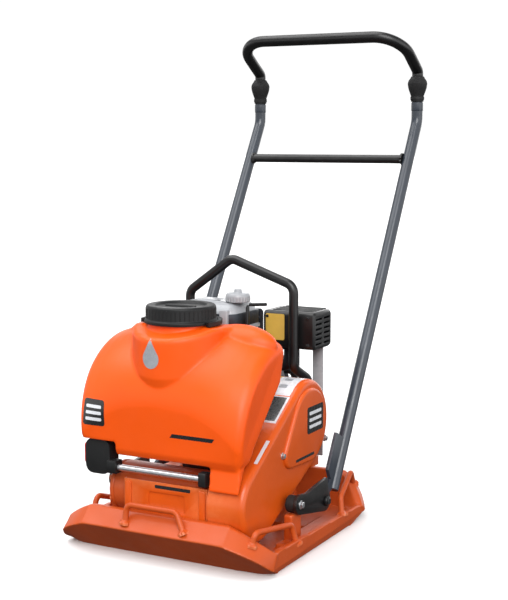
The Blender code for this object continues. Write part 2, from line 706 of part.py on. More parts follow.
def water_tank():
    right_end = []
    for i in range(4):
        angle = math.pi / 2 * i / 3
        share = 1.0 - TANK_EDGE * (1.0 - math.sin(angle)) / TANK_HALF
        right_end.append((share, 1.0 - TANK_EDGE * (1.0 - math.cos(angle)) / TANK_REACH))
    left_end = [(-share, scale) for share, scale in right_end[::-1]]
    stations = left_end + [(0.2 * i, 1.0) for i in range(-4, 5)] + right_end
    tank = add("water_tank", tank_body(stations), "orange_plastic")
    foot = [(-0.250, 0.160), (-0.2462, 0.160), (-0.206, 0.240), (-0.240, 0.240)]
    join(tank, prism(foot, "X", 0.116, 0.183))
    join(tank, pillar())
    join(tank, disc(NECK_RADIUS, 0.44, NECK_TOP, "Z", (NECK.x, NECK.y, 0), 32))
    cut(tank, prism(rectangle(-0.210, -0.1227, 0.15, NOTCH_TOP), "Y", -0.300, -0.150))
    cut(tank, tank_hollow())
    cut(tank, disc(NECK_BORE, 0.42, 0.52, "Z", (NECK.x, NECK.y, 0), 32))


def tank_cap(joint):
    centre = (NECK.x, NECK.y, 0)
    inside = NECK_RADIUS + 0.002
    flange = CAP_RADIUS + 0.003
    roof = NECK_TOP + 0.002
    profile = [(0, roof), (inside, roof), (inside, CAP_LOW), (flange, CAP_LOW),
               (flange, CAP_LOW + 0.007), (CAP_RADIUS, CAP_LOW + 0.009),
               (CAP_RADIUS, CAP_TOP - 0.003), (CAP_RADIUS - 0.003, CAP_TOP),
               (0.052, CAP_TOP), (0.048, CAP_TOP - 0.005), (0, CAP_TOP - 0.005)]
    hang(add("tank_cap", lathe(profile, "Z", centre, 36), "black_plastic"), joint)


def sprinkler():
    """Cock block in place of the tank's left foot, the spray tube and the tube's right clip."""
    outline = rectangle(-0.183, -0.123, 0.163, 0.237, 0.018, 4)
    block = add("water_cock_block", prism(outline, "Y", -0.246, -0.212), "black_plastic")
    tube = sweep([(-0.1045, -0.240, 0.181), (0.0915, -0.240, 0.181)], 0.0068, 14)
    add("sprinkler_tube", tube, "steel")
    left = prism(rectangle(-0.252, -0.226, 0.168, 0.196, 0.004, 2), "X", -0.1260, -0.1048)
    join(block, left)
    right = prism(rectangle(-0.251, -0.229, 0.166, 0.196, 0.004, 2), "X", 0.0918, 0.1086)
    add("sprinkler_clip", right, "black_plastic")


def water_cock(joint):
    x, y, z = COCK
    arm = prism(rectangle(y - 0.007, y + 0.007, z - 0.036, z + 0.008, 0.006, 3),
                "X", x - 0.012, x - GAP)
    hang(add("water_cock_lever", arm, "red_plastic"), joint)


def front_panel():
    """Folded sheet below the tank: a face with two side flanges and a shallow framed recess."""
    face = [(-0.095, -0.225), (-0.095, -0.234), (0.103, -0.234), (0.103, -0.225),
            (0.100, -0.225), (0.100, -0.231), (-0.092, -0.231), (-0.092, -0.225)]
    panel = add("front_panel", prism(face, "Z", 0.086, 0.159), "orange_steel")
    slot = rectangle(-0.036, 0.050, 0.098, 0.138, 0.006, 2)
    join(panel, prism(rectangle(-0.042, 0.056, 0.092, 0.144, 0.008, 2), "Y", -0.232, -0.229))
    cut(panel, prism(slot, "Y", -0.240, -0.2315))


# Handle

def rotated_line(distance, across):
    """A point beside the leaning handle tube: distance up it, across it towards the front."""
    (y0, z0), (y1, z1) = TUBE_FOOT, TUBE_KNEE
    length = math.dist(TUBE_FOOT, TUBE_KNEE)
    uy, uz = (y1 - y0) / length, (z1 - z0) / length
    return (y0 + distance * uy - across * uz, z0 + distance * uz + across * uy)


def handle_brackets():
    """Static side of the handle pivot: rubber damper, bracket plate and pivot bolt."""
    for name, side in (("right", 1), ("left", -1)):
        centre = (0, MOUNT_Y, MOUNT_Z)
        damper = disc(MOUNT_RADIUS, *sorted((side * 0.2035, side * 0.2237)), "X", centre, 20, 0.002)
        add("handle_damper_" + name, damper, "rubber")
        outline = hull_of_circles((PIVOT_Y, PIVOT_Z), 0.022, (MOUNT_Y, MOUNT_Z), 0.021, 8)
        crest = [(PIVOT_Y - 0.010, 0.098), (PIVOT_Y + 0.012, 0.100), (PIVOT_Y + 0.008, 0.130),
                 (PIVOT_Y - 0.040, 0.126), (MOUNT_Y + 0.020, 0.118)]
        low, high = sorted((side * 0.2240, side * 0.2320))
        bracket = add("handle_bracket_" + name, prism(outline, "X", low, high), "black_paint")
        join(bracket, prism(crest, "X", low, high))
        pivot = (0, PIVOT_Y, PIVOT_Z)
        cut(bracket, disc(0.0063, -0.3, 0.3, "X", pivot, 16))
        bolt = [(0, 0.2045), (0.006, 0.2045), (0.006, 0.2323), (0.011, 0.2323), (0.011, 0.238),
                (0, 0.238)]
        bolt = lathe([(r, side * h) for r, h in bolt], "X", pivot, 12)
        add("pivot_bolt_" + name, bolt, "steel")


def handle(joint):
    for name, side in (("right", 1), ("left", -1)):
        foot = Vector((side * TUBE_X, *TUBE_FOOT))
        knee = Vector((side * TUBE_X, *TUBE_KNEE))
        end = Vector((side * TUBE_X, TUBE_KNEE[0], TUBE_END))
        tube = sweep(rounded([foot, knee, end], 0.050, 5), TUBE, 16)
        leg = add("handle_tube_" + name, tube, "grey_paint")
        offset = TUBE - 0.004
        plate = [rotated_line(0.004, offset), rotated_line(0.118, offset),
                 rotated_line(0.116, offset + 0.042), rotated_line(0.030, offset + 0.042)]
        join(leg, prism(plate, "X", *sorted((side * 0.2130, side * 0.2210))))
        pivot = (0, PIVOT_Y, PIVOT_Z)
        join(leg, disc(0.020, *sorted((side * 0.2105, side * 0.2235)), "X", pivot, 20))
        web = [(PIVOT_Y, PIVOT_Z - 0.0185), rotated_line(0.004, offset), rotated_line(0.040, offset),
               (PIVOT_Y + 0.006, PIVOT_Z + 0.018)]
        join(leg, prism(web, "X", *sorted((side * 0.2130, side * 0.2210))))
        cut(leg, disc(0.0063, -0.3, 0.3, "X", pivot, 16))
        hang(leg, joint)
        hang(isolator(name, side), joint)
    bar = sweep([(-TUBE_X + TUBE + GAP, *CROSSBAR), (TUBE_X - TUBE - GAP, *CROSSBAR)], 0.0105, 14)
    hang(add("handle_crossbar", bar, "black_paint"), joint)
    hang(grip_loop(), joint)


def isolator(name, side):
    """Rubber coupling between the tube's end and the grip loop."""
    low = TUBE_END + GAP
    profile = [(0, low), (0.0145, low), (0.0150, 0.950), (0.0225, 0.978), (0.0235, 0.988),
               (0.0200, 0.998), (0.0150, 1.004), (0, 1.004)]
    body = lathe(profile, "Z", (side * TUBE_X, TUBE_KNEE[0], 0), 20)
    return add("vibration_isolator_" + name, body, "rubber")


def grip_loop():
    """The operator's bar: two legs that rise and lean forward, joined by the top rail."""
    start = (TUBE_KNEE[0], 1.0043)
    right = [(TUBE_X, *start), (TUBE_X, start[0], 1.017), (TUBE_X, 0.480, 1.0935)]
    left = [(-x, y, z) for x, y, z in right]
    lower = rounded([right[0], right[1], right[2], left[2], left[1], left[0]], 0.012, 4)
    corner = rounded([right[1], right[2], left[2], left[1]], 0.072, 7)
    ends = [p for p in lower if p.x > 0][:6]
    path = ends + corner[1:-1] + [Vector((-p.x, p.y, p.z)) for p in ends[::-1]]
    return add("grip_loop", sweep(path, GRIP, 14), "black_paint")


def build():
    clear_scene()
    base_plate()
    grab_rods()
    exciter()
    exciter_rotor(joint_empty("exciter_joint", EXCITER))
    crank_assembly(joint_empty("crank_joint", CRANK))
    belt()
    belt_guard()
    engine_bed()
    lifting_bar()
    engine_block()
    recoil_starter()
    recoil_grip(joint_empty("recoil_joint", RECOIL_REST))
    fuel_tank()
    fuel_cap(joint_empty("fuel_cap_joint", FUEL_CAP))
    engine_top()
    engine_controls()
    water_tank()
    tank_cap(joint_empty("tank_cap_joint", NECK))
    sprinkler()
    water_cock(joint_empty("water_cock_joint", COCK))
    front_panel()
    handle_brackets()
    handle(joint_empty("handle_joint", (0, PIVOT_Y, PIVOT_Z)))


build()
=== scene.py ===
"""Finished surfaces, materials, light and camera for the forward plate compactor.

Metres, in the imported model's frame: +Z up, origin in the middle of the sole, the machine travels
towards -Y, the operator stands at +Y and the belt drive is on the +X side.
"""

import json
import math
import random

import bmesh
import bpy
from mathutils import Matrix, Vector
from mathutils.bvhtree import BVHTree

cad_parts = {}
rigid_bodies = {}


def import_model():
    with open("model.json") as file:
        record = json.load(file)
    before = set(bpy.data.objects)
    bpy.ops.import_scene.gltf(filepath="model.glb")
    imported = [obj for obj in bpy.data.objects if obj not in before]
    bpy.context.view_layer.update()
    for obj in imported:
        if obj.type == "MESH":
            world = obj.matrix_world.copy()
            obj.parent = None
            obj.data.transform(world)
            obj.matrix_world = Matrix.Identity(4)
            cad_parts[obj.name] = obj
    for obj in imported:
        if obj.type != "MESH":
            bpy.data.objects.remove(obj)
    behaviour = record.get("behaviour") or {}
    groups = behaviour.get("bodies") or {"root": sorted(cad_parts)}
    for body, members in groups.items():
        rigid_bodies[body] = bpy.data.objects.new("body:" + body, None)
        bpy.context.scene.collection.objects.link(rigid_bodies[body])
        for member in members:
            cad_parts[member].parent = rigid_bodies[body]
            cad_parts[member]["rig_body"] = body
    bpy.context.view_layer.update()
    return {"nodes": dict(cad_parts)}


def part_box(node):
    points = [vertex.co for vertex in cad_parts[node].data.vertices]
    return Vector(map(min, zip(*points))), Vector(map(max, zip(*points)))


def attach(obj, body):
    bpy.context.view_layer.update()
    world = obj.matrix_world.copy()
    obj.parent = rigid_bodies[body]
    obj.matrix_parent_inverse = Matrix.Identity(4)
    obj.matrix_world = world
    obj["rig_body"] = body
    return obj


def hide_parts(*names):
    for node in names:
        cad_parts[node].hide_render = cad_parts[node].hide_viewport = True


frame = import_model()

# Places and sizes that several pieces share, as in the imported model; the guard's are read from it
CRANK = Vector((0.0, 0.050, 0.247))
EXCITER = Vector((0.0, -0.170, 0.125))
GUARD_BIG = 0.095                # radii of the belt guard's two round ends
GUARD_SMALL = 0.078
GUARD_IN, GUARD_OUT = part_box("belt_guard")[0].x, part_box("belt_guard")[1].x
GUARD_FACE = GUARD_OUT - 0.007   # the guard's main outer face, below its raised boss
NECK = Vector((0.0, -0.160, 0.480))
NECK_TOP = 0.506
NECK_RADIUS = 0.067
NECK_BORE = 0.058
PILLAR = 0.100                   # radius of the round pillar under the tank's neck
TANK_WALL = 0.005
TANK_HALF = 0.199
TANK_HALF_LOW = 0.186
TANK_LOW = 0.209
TANK_WIDEST = 0.369
MIDDLE_ARCH = (-0.100, 0.320, 0.160, 0.150)   # centre y, z and half axes of its front curve
SIDE_ARCH = (-0.084, 0.240, 0.174, 0.197)
TANK_CENTRE = (-0.165, 0.330)    # y, z that the outline shrinks towards on the rounded ends
TANK_REACH = 0.105               # the outline's usual distance from that centre
TANK_EDGE = 0.016                # radius of the edges round its two side faces
TUBE_X = 0.217
TUBE_RADIUS = 0.0136
LEG_Y = 0.597                    # where the handle's upright parts stand
FOOT_TOP = 0.215                 # the handle tubes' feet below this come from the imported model
RIM_X = 0.2432                   # the grab rods' feet on the plate's rim
PIVOT = Vector((0.0, 0.052, 0.081))
DAMPER = Vector((0.0, -0.072, 0.104))
DECK = 0.020
SHARP = math.radians(32)         # edges sharper than this stay crisp


# Materials. Every pattern reads Object coordinates, which are the frame's own metres.

def start_material(name, roughness, metallic=0.0, coat=0.0, coat_roughness=0.1):
    """A Principled material; values that don't vary over the surface are set on its sockets."""
    made = bpy.data.materials.new(name)
    made.use_nodes = True
    tree = made.node_tree
    shader = tree.nodes["Principled BSDF"]
    shader.inputs["Roughness"].default_value = roughness
    shader.inputs["Metallic"].default_value = metallic
    shader.inputs["Coat Weight"].default_value = coat
    shader.inputs["Coat Roughness"].default_value = coat_roughness
    return made, tree, shader


def grain(tree, scale, detail=3.0, stretch=(1.0, 1.0, 1.0)):
    """Noise in the frame's metres; scale is in cycles per metre."""
    place = tree.nodes.new("ShaderNodeTexCoord")
    mapping = tree.nodes.new("ShaderNodeMapping")
    mapping.inputs["Scale"].default_value = stretch
    texture = tree.nodes.new("ShaderNodeTexNoise")
    texture.inputs["Scale"].default_value = scale
    texture.inputs["Detail"].default_value = detail
    tree.links.new(place.outputs["Object"], mapping.inputs["Vector"])
    tree.links.new(mapping.outputs["Vector"], texture.inputs["Vector"])
    return texture.outputs["Fac"]


def ramp(tree, factor, stops):
    """A colour ramp through (position, colour) stops."""
    node = tree.nodes.new("ShaderNodeValToRGB")
    elements = node.color_ramp.elements
    while len(elements) < len(stops):
        elements.new(0.5)
    for element, (position, colour) in zip(elements, stops):
        element.position = position
        element.color = (*colour, 1.0)
    tree.links.new(factor, node.inputs["Fac"])
    return node.outputs["Color"]


def shade(colour, gain):
    return tuple(min(1.0, channel * gain) for channel in colour)


def mottle(tree, colour, scale, spread):
    """The paint's colour, a little darker and lighter in soft patches."""
    factor = grain(tree, scale, 4.0)
    return ramp(tree, factor, [(0.30, shade(colour, 1 - spread)), (0.70, shade(colour, 1 + spread))])


def remap(tree, value, source, target=(0.0, 1.0)):
    """Take a value from one range to another, and clamp it there."""
    band = tree.nodes.new("ShaderNodeMapRange")
    for end, number in zip(("From Min", "From Max", "To Min", "To Max"), (*source, *target)):
        band.inputs[end].default_value = number
    tree.links.new(value, band.inputs["Value"])
    return band.outputs["Result"]


def edge_wear_and_highlight_mask(tree, sharpness):
    """One along outer edges, broken up by noise so that it isn't even; it places a paler colour that is
    partly wear and partly a painted highlight on the edges.
    """
    geometry = tree.nodes.new("ShaderNodeNewGeometry")
    broken = tree.nodes.new("ShaderNodeMath")
    broken.operation = "MULTIPLY"
    tree.links.new(remap(tree, geometry.outputs["Pointiness"], sharpness), broken.inputs[0])
    tree.links.new(grain(tree, 90.0, 5.0), broken.inputs[1])
    return broken.outputs["Value"]


def blend_colour(tree, factor, under, over):
    """under where factor is 0 and the plain colour over where it is 1."""
    mix = tree.nodes.new("ShaderNodeMix")
    mix.data_type = "RGBA"
    tree.links.new(factor, mix.inputs["Factor"])
    tree.links.new(under, mix.inputs[6])
    mix.inputs[7].default_value = (*over, 1.0)
    return mix.outputs[2]


def lay_colour(tree, shader, colour, scale, spread, wear_and_edge_highlight=None, sharpness=(0.53, 0.60)):
    """Mottled colour, with a paler colour on the edges that are this sharp: partly wear, partly a
    painted highlight.
    """
    base = mottle(tree, colour, scale, spread)
    if wear_and_edge_highlight:
        base = blend_colour(tree, edge_wear_and_highlight_mask(tree, sharpness), base, wear_and_edge_highlight)
    tree.links.new(base, shader.inputs["Base Color"])


def vary_roughness(tree, shader, scale, low, high):
    patches = remap(tree, grain(tree, scale, 4.0), (0.3, 0.7), (low, high))
    tree.links.new(patches, shader.inputs["Roughness"])


def relief(tree, shader, layers):
    """Bump from several noises, coarse to fine: (scale, height in metres, stretch)."""
    normal = None
    for scale, height, stretch in layers:
        node = tree.nodes.new("ShaderNodeBump")
        node.inputs["Strength"].default_value = 1.0
        node.inputs["Distance"].default_value = height
        tree.links.new(grain(tree, scale, 3.0, stretch), node.inputs["Height"])
        if normal is not None:
            tree.links.new(normal, node.inputs["Normal"])
        normal = node.outputs["Normal"]
    tree.links.new(normal, shader.inputs["Normal"])


EVEN = (1.0, 1.0, 1.0)


def enamel(name, colour, wear_and_edge_highlight, cast_height, roughness, coat):
    """Sprayed orange enamel: orange peel, faint dust, paler edges that are partly rubbed wear and partly
    a painted highlight.
    """
    made, tree, shader = start_material(name, 0.4, 0.0, coat, 0.12)
    shader.inputs["Specular IOR Level"].default_value = 0.35
    lay_colour(tree, shader, colour, 7.0, 0.07, wear_and_edge_highlight)
    vary_roughness(tree, shader, 22.0, *roughness)
    relief(tree, shader, [(45.0, cast_height, EVEN), (420.0, 0.00006, EVEN)])
    return made


def moulded(name, colour, spread, roughness, skin, coat=0.0):
    """Moulded plastic with the fine skin its mould leaves."""
    made, tree, shader = start_material(name, 0.45, 0.0, coat, 0.25)
    shader.inputs["Specular IOR Level"].default_value = 0.32
    lay_colour(tree, shader, colour, 9.0, spread)
    vary_roughness(tree, shader, 30.0, *roughness)
    relief(tree, shader, [(30.0, 0.00030, EVEN), (900.0, skin, EVEN)])
    return made


def paint(name, colour, roughness, coat, wear_and_edge_highlight):
    """Smooth paint on tube and sheet."""
    made, tree, shader = start_material(name, 0.35, 0.0, coat, 0.12)
    lay_colour(tree, shader, colour, 12.0, 0.12, wear_and_edge_highlight, (0.54, 0.62))
    vary_roughness(tree, shader, 35.0, *roughness)
    relief(tree, shader, [(500.0, 0.00004, EVEN)])
    return made


def rubber_skin(name, colour):
    made, tree, shader = start_material(name, 0.75)
    lay_colour(tree, shader, colour, 40.0, 0.25)
    vary_roughness(tree, shader, 60.0, 0.62, 0.85)
    relief(tree, shader, [(1100.0, 0.00008, EVEN)])
    return made


def bare_metal(name, colour, roughness, layers):
    """Unpainted metal; stretched layers give it turned or brushed lines."""
    made, tree, shader = start_material(name, 0.35, 0.9)
    # Paler edges: partly wear, partly a painted highlight
    lay_colour(tree, shader, colour, 60.0, 0.10, shade(colour, 1.35))
    vary_roughness(tree, shader, 80.0, *roughness)
    relief(tree, shader, layers)
    return made


def sticker(name, colour, roughness=0.25):
    """Laminated printed film with slight fading."""
    made, tree, shader = start_material(name, roughness, 0.0, 0.4, 0.08)
    lay_colour(tree, shader, colour, 45.0, 0.05)
    vary_roughness(tree, shader, 120.0, roughness - 0.05, roughness + 0.10)
    relief(tree, shader, [(260.0, 0.00003, EVEN)])
    return made


def ground_material():
    made, tree, shader = start_material("studio_floor", 0.9)
    lay_colour(tree, shader, (0.90, 0.90, 0.90), 0.7, 0.01)
    relief(tree, shader, [(140.0, 0.0002, EVEN)])
    return made


def make_materials():
    cast = [(60.0, 0.0005, EVEN), (700.0, 0.00010, EVEN)]
    lathe_lines = [(900.0, 0.00001, (0.05, 1.0, 1.0))]
    return {
        # The paler edge colours of the enamels and paints are partly wear, partly a painted highlight
        "enamel_cast": enamel("enamel_cast", (0.51, 0.070, 0.006), (0.76, 0.25, 0.11), 0.0003,
                              (0.42, 0.58), 0.12),
        "enamel_sheet": enamel("enamel_sheet", (0.66, 0.092, 0.006), (0.84, 0.26, 0.09), 0.0002,
                               (0.28, 0.42), 0.25),
        "moulded_orange": moulded("moulded_orange", (0.88, 0.094, 0.003), 0.03, (0.36, 0.48),
                                  0.00005, 0.06),
        "moulded_black": moulded("moulded_black", (0.009, 0.0095, 0.010), 0.15, (0.42, 0.58),
                                 0.00010),
        "moulded_red": moulded("moulded_red", (0.55, 0.016, 0.010), 0.08, (0.30, 0.42), 0.00004),
        "satin_black": paint("satin_black", (0.005, 0.005, 0.0055), (0.30, 0.44), 0.1,
                             (0.03, 0.03, 0.03)),
        "slate_paint": paint("slate_paint", (0.028, 0.036, 0.050), (0.28, 0.42), 0.3,
                             (0.09, 0.10, 0.12)),
        "tank_paint": paint("tank_paint", (0.33, 0.34, 0.36), (0.26, 0.40), 0.3,
                            (0.62, 0.62, 0.62)),
        "rubber": rubber_skin("rubber", (0.008, 0.008, 0.0085)),
        "steel": bare_metal("steel", (0.58, 0.59, 0.61), (0.26, 0.34), lathe_lines),
        "cast_alloy": bare_metal("cast_alloy", (0.40, 0.41, 0.43), (0.42, 0.62), cast),
        "dark_alloy": bare_metal("dark_alloy", (0.045, 0.049, 0.058), (0.40, 0.60), cast),
        "white_film": sticker("white_film", (0.72, 0.74, 0.78)),
        "grey_film": sticker("grey_film", (0.33, 0.35, 0.38)),
        "black_film": sticker("black_film", (0.016, 0.017, 0.018)),
        "yellow_film": sticker("yellow_film", (0.67, 0.42, 0.075), 0.4),
        "floor": ground_material(),
    }


MATERIALS = make_materials()


# Outlines, in any two coordinates

def arc(centre, radius, start, end, steps):
    """Points on an arc, from start to end in degrees, both ends included."""
    angles = [math.radians(start + (end - start) * i / steps) for i in range(steps + 1)]
    return [(centre[0] + radius * math.cos(a), centre[1] + radius * math.sin(a)) for a in angles]


def hull_of_circles(first, first_radius, second, second_radius, steps=28):
    """Outline of a belt stretched round two circles, anticlockwise."""
    along = math.atan2(second[1] - first[1], second[0] - first[0])
    spread = math.acos((first_radius - second_radius) / math.dist(first, second))
    a, b = math.degrees(along + spread), math.degrees(along - spread)
    return arc(first, first_radius, a, b + 360.0, steps) + arc(second, second_radius, b, a, steps)


def rectangle(x0, x1, y0, y1, corner, steps=6):
    spots = [(x1 - corner, y1 - corner, 0), (x0 + corner, y1 - corner, 90),
             (x0 + corner, y0 + corner, 180), (x1 - corner, y0 + corner, 270)]
    return [p for cx, cy, start in spots for p in arc((cx, cy), corner, start, start + 90, steps)]


def inset(outline, distance):
    """Move each corner of an outline inwards, along the mean of its two edges' normals."""
    area = sum(a[0] * b[1] - b[0] * a[1] for a, b in zip(outline, outline[1:] + outline[:1]))
    turn = 1.0 if area > 0 else -1.0
    moved = []
    for i, point in enumerate(outline):
        here = Vector(point)
        first = (here - Vector(outline[i - 1])).normalized()
        second = (Vector(outline[(i + 1) % len(outline)]) - here).normalized()
        normal = Vector((-(first.y + second.y), first.x + second.x)).normalized() * turn
        stretch = max(0.5, normal.dot(Vector((-first.y, first.x)) * turn))
        moved.append(tuple(here + normal * distance / stretch))
    return moved


def smooth_curve(points, per_span, closed):
    """Catmull-Rom curve through points, per_span pieces between each two of them."""
    points = [Vector(p) for p in points]
    count = len(points)
    spans = count if closed else count - 1
    out = []
    for i in range(spans):
        picked = []
        for k in (i - 1, i, i + 1, i + 2):
            picked.append(points[k % count] if closed else points[min(max(k, 0), count - 1)])
        a, b, c, d = picked
        for step in range(per_span):
            t = step / per_span
            out.append(0.5 * (2 * b + (c - a) * t + (2 * a - 5 * b + 4 * c - d) * t ** 2
                              + (3 * b - a - 3 * c + d) * t ** 3))
    if not closed:
        out.append(points[-1])
    return out


# Meshes

def place(axis, u, v, w):
    """A point from two outline coordinates and the depth along the extrusion axis."""
    return {"X": (w, u, v), "Y": (u, w, v), "Z": (u, v, w)}[axis]


def loft(rings, bm=None):
    """A closed body through rings that have the same number of points."""
    bm = bm or bmesh.new()
    loops = [[bm.verts.new(p) for p in points] for points in rings]
    count = len(loops[0])
    for low, high in zip(loops, loops[1:]):
        for i in range(count):
            j = (i + 1) % count
            bm.faces.new((low[i], low[j], high[j], high[i]))
    bm.faces.new(loops[0])
    bm.faces.new(loops[-1])
    return bm


def prism(outline, axis, low, high, edge=0.0, both=False, steps=3, bm=None):
    """Extrude an outline along an axis, with its high edge (or both edges) rounded."""
    turns = [math.pi / 2 * i / steps for i in range(steps + 1)]
    levels = [(low, 0.0)]
    if both and edge > 0.0:
        levels = [(low + edge * (1 - math.cos(t)), edge * (1 - math.sin(t))) for t in turns]
    if edge > 0.0:
        levels += [(high - edge * (1 - math.sin(t)), edge * (1 - math.cos(t))) for t in turns]
    else:
        levels.append((high, 0.0))
    rings = []
    for depth, shrink in levels:
        points = inset(outline, shrink) if shrink > 1e-7 else outline
        rings.append([place(axis, u, v, depth) for u, v in points])
    return loft(rings, bm)


def lathe(profile, axis, centre, steps=48, bm=None):
    """Turn a closed profile of (radius, height along axis) about an axis through centre."""
    bm = bm or bmesh.new()
    columns = []
    for radius, height in profile:
        column = []
        for i in range(steps if radius > 0 else 1):
            angle = 2 * math.pi * i / steps
            local = place(axis, radius * math.cos(angle), radius * math.sin(angle), height)
            column.append(bm.verts.new(Vector(centre) + Vector(local)))
        columns.append(column)
    for one, two in zip(columns, columns[1:] + columns[:1]):
        if len(one) == 1 and len(two) == 1:
            continue
        for i in range(steps):
            j = (i + 1) % steps
            corners = (one[i % len(one)], one[j % len(one)], two[j % len(two)], two[i % len(two)])
            bm.faces.new(list(dict.fromkeys(corners)))
    return bm


def turned(corners, edge, axis, centre, steps=48, bm=None):
    """A lathe profile whose corners off the axis are rounded by edge."""
    profile = []
    count = len(corners)
    for i, (radius, height) in enumerate(corners):
        here = Vector((radius, height))
        before, after = Vector(corners[i - 1]), Vector(corners[(i + 1) % count])
        room = min((before - here).length, (after - here).length) / 2.1
        cut = min(edge, room)
        if radius <= 1e-6 or cut < 1e-5:
            profile.append((radius, height))
            continue
        start = here + (before - here).normalized() * cut
        end = here + (after - here).normalized() * cut
        for t in (0.0, 0.33, 0.67, 1.0):
            point = start * (1 - t) ** 2 + here * 2 * t * (1 - t) + end * t ** 2
            profile.append((point.x, point.y))
    return lathe(profile, axis, centre, steps, bm)


def disc(radius, low, high, edge, centre, steps, bm=None):
    """A disc or collar about a vertical axis, its corners rounded by edge."""
    corners = [(0, low), (radius, low), (radius, high), (0, high)]
    return turned(corners, edge, "Z", centre, steps, bm)


def circle(centre, one, other, radius, count):
    """Points round a circle in the plane of two unit vectors."""
    turns = [2 * math.pi * k / count for k in range(count)]
    return [centre + radius * (one * math.cos(t) + other * math.sin(t)) for t in turns]


def bent(points, bend, steps=8):
    """A path whose inner corners are replaced by arcs of radius bend."""
    points = [Vector(p) for p in points]
    path = [points[0]]
    for before, corner, after in zip(points, points[1:], points[2:]):
        incoming = (corner - before).normalized()
        outgoing = (after - corner).normalized()
        turn = incoming.angle(outgoing)
        inward = (outgoing - incoming * math.cos(turn)).normalized()
        centre = corner - incoming * bend * math.tan(turn / 2) + inward * bend
        for i in range(steps + 1):
            angle = turn * i / steps
            path.append(centre + bend * (incoming * math.sin(angle) - inward * math.cos(angle)))
    path.append(points[-1])
    return path


def rod(path, radius, sides=28, edge=0.001, bm=None):
    """A round bar along a path, its ends rounded by edge."""
    path = [Vector(p) for p in path]
    start = (path[1] - path[0]).normalized() * edge
    end = (path[-1] - path[-2]).normalized() * edge
    path = [path[0], path[0] + start] + path[1:-1] + [path[-1] - end, path[-1]]
    loops = []
    normal = None
    for i, point in enumerate(path):
        tangent = (path[min(i + 1, len(path) - 1)] - path[max(i - 1, 0)]).normalized()
        if normal is None:
            normal = tangent.orthogonal().normalized()
        normal = (normal - tangent * normal.dot(tangent)).normalized()
        side = tangent.cross(normal)
        size = radius - edge if i in (0, len(path) - 1) else radius
        loops.append(circle(point, normal, side, size, sides))
    return loft(loops, bm)


def weld(bm, point, direction, radius, height, seed):
    """A lumpy fillet of weld metal round a bar where it meets the plate."""
    rng = random.Random(seed)
    direction = Vector(direction).normalized()
    side = direction.orthogonal().normalized()
    other = direction.cross(side)
    lumps = [rng.uniform(0.86, 1.12) for _ in range(24)]
    rings = []
    for share, rise in ((1.0, -0.7), (1.0, 0.0), (0.86, 0.35), (0.68, 0.72), (0.58, 1.0)):
        points = []
        for i, lump in enumerate(lumps):
            angle = 2 * math.pi * i / len(lumps)
            reach = radius * (share * lump if share > 0.6 else share)
            points.append(Vector(point) + direction * height * rise
                          + reach * (side * math.cos(angle) + other * math.sin(angle)))
        rings.append(points)
    return loft(rings, bm)


def finish_mesh(mesh, material):
    mesh.materials.clear()
    mesh.materials.append(MATERIALS[material])
    mesh.shade_smooth()
    mesh.set_sharp_from_angle(angle=SHARP)


def new_object(name, bm):
    """An object in the scene that takes over a body's mesh."""
    bmesh.ops.recalc_face_normals(bm, faces=bm.faces)
    mesh = bpy.data.meshes.new(name)
    bm.to_mesh(mesh)
    bm.free()
    made = bpy.data.objects.new(name, mesh)
    bpy.context.scene.collection.objects.link(made)
    return made


def piece(name, bm, material, body, nodes=()):
    """A finished piece on its body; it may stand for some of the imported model's nodes."""
    made = new_object(name, bm)
    finish_mesh(made.data, material)
    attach(made, body)
    if nodes:
        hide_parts(*nodes)
    return made


def scratch(bm):
    """A temporary object, only used by a modifier."""
    return new_object("tool", bm)


def apply_modifiers(obj):
    bpy.context.view_layer.update()
    graph = bpy.context.evaluated_depsgraph_get()
    result = bpy.data.meshes.new_from_object(obj.evaluated_get(graph), depsgraph=graph)
    old = obj.data
    obj.modifiers.clear()
    obj.data = result
    bpy.data.meshes.remove(old)


def combine(obj, bm, operation):
    """Cut a body out of obj or join it on."""
    tool = scratch(bm)
    step = obj.modifiers.new(operation.lower(), "BOOLEAN")
    step.operation = operation
    step.object = tool
    step.solver = "EXACT"
    apply_modifiers(obj)
    bpy.data.objects.remove(tool, do_unlink=True)


def to_bmesh(obj):
    """The mesh of a temporary object, which is then removed."""
    bm = bmesh.new()
    bm.from_mesh(obj.data)
    bpy.data.objects.remove(obj, do_unlink=True)
    return bm


def melt(bm, voxel, rounds):
    """Fuse overlapping bodies into one skin with soft fillets, as a casting or moulding has."""
    obj = scratch(bm)
    remesh = obj.modifiers.new("skin", "REMESH")
    remesh.mode = "VOXEL"
    remesh.voxel_size = voxel
    soft = obj.modifiers.new("soft", "SMOOTH")
    soft.factor = 0.5
    soft.iterations = rounds
    apply_modifiers(obj)
    return to_bmesh(obj)


def softened(node, width, segments=2):
    """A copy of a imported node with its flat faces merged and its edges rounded."""
    obj = scratch(bmesh.new())
    obj.data = frame["nodes"][node].data.copy()
    bm = bmesh.new()
    bm.from_mesh(obj.data)
    bmesh.ops.remove_doubles(bm, verts=bm.verts, dist=0.00002)
    bmesh.ops.dissolve_limit(bm, angle_limit=math.radians(0.6), verts=bm.verts, edges=bm.edges)
    bm.to_mesh(obj.data)
    bm.free()
    rounding = obj.modifiers.new("rounding", "BEVEL")
    rounding.width = width
    rounding.segments = segments
    rounding.limit_method = "ANGLE"
    rounding.angle_limit = math.radians(34)
    rounding.use_clamp_overlap = True
    apply_modifiers(obj)
    return to_bmesh(obj)


def rounded_node(node, material, width=0.0010, segments=2, extra=None):
    """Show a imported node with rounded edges; extra adds more bodies to its mesh."""
    bm = softened(node, width, segments)
    if extra:
        extra(bm)
    return piece("fine_" + node, bm, material, frame["nodes"][node]["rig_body"], [node])


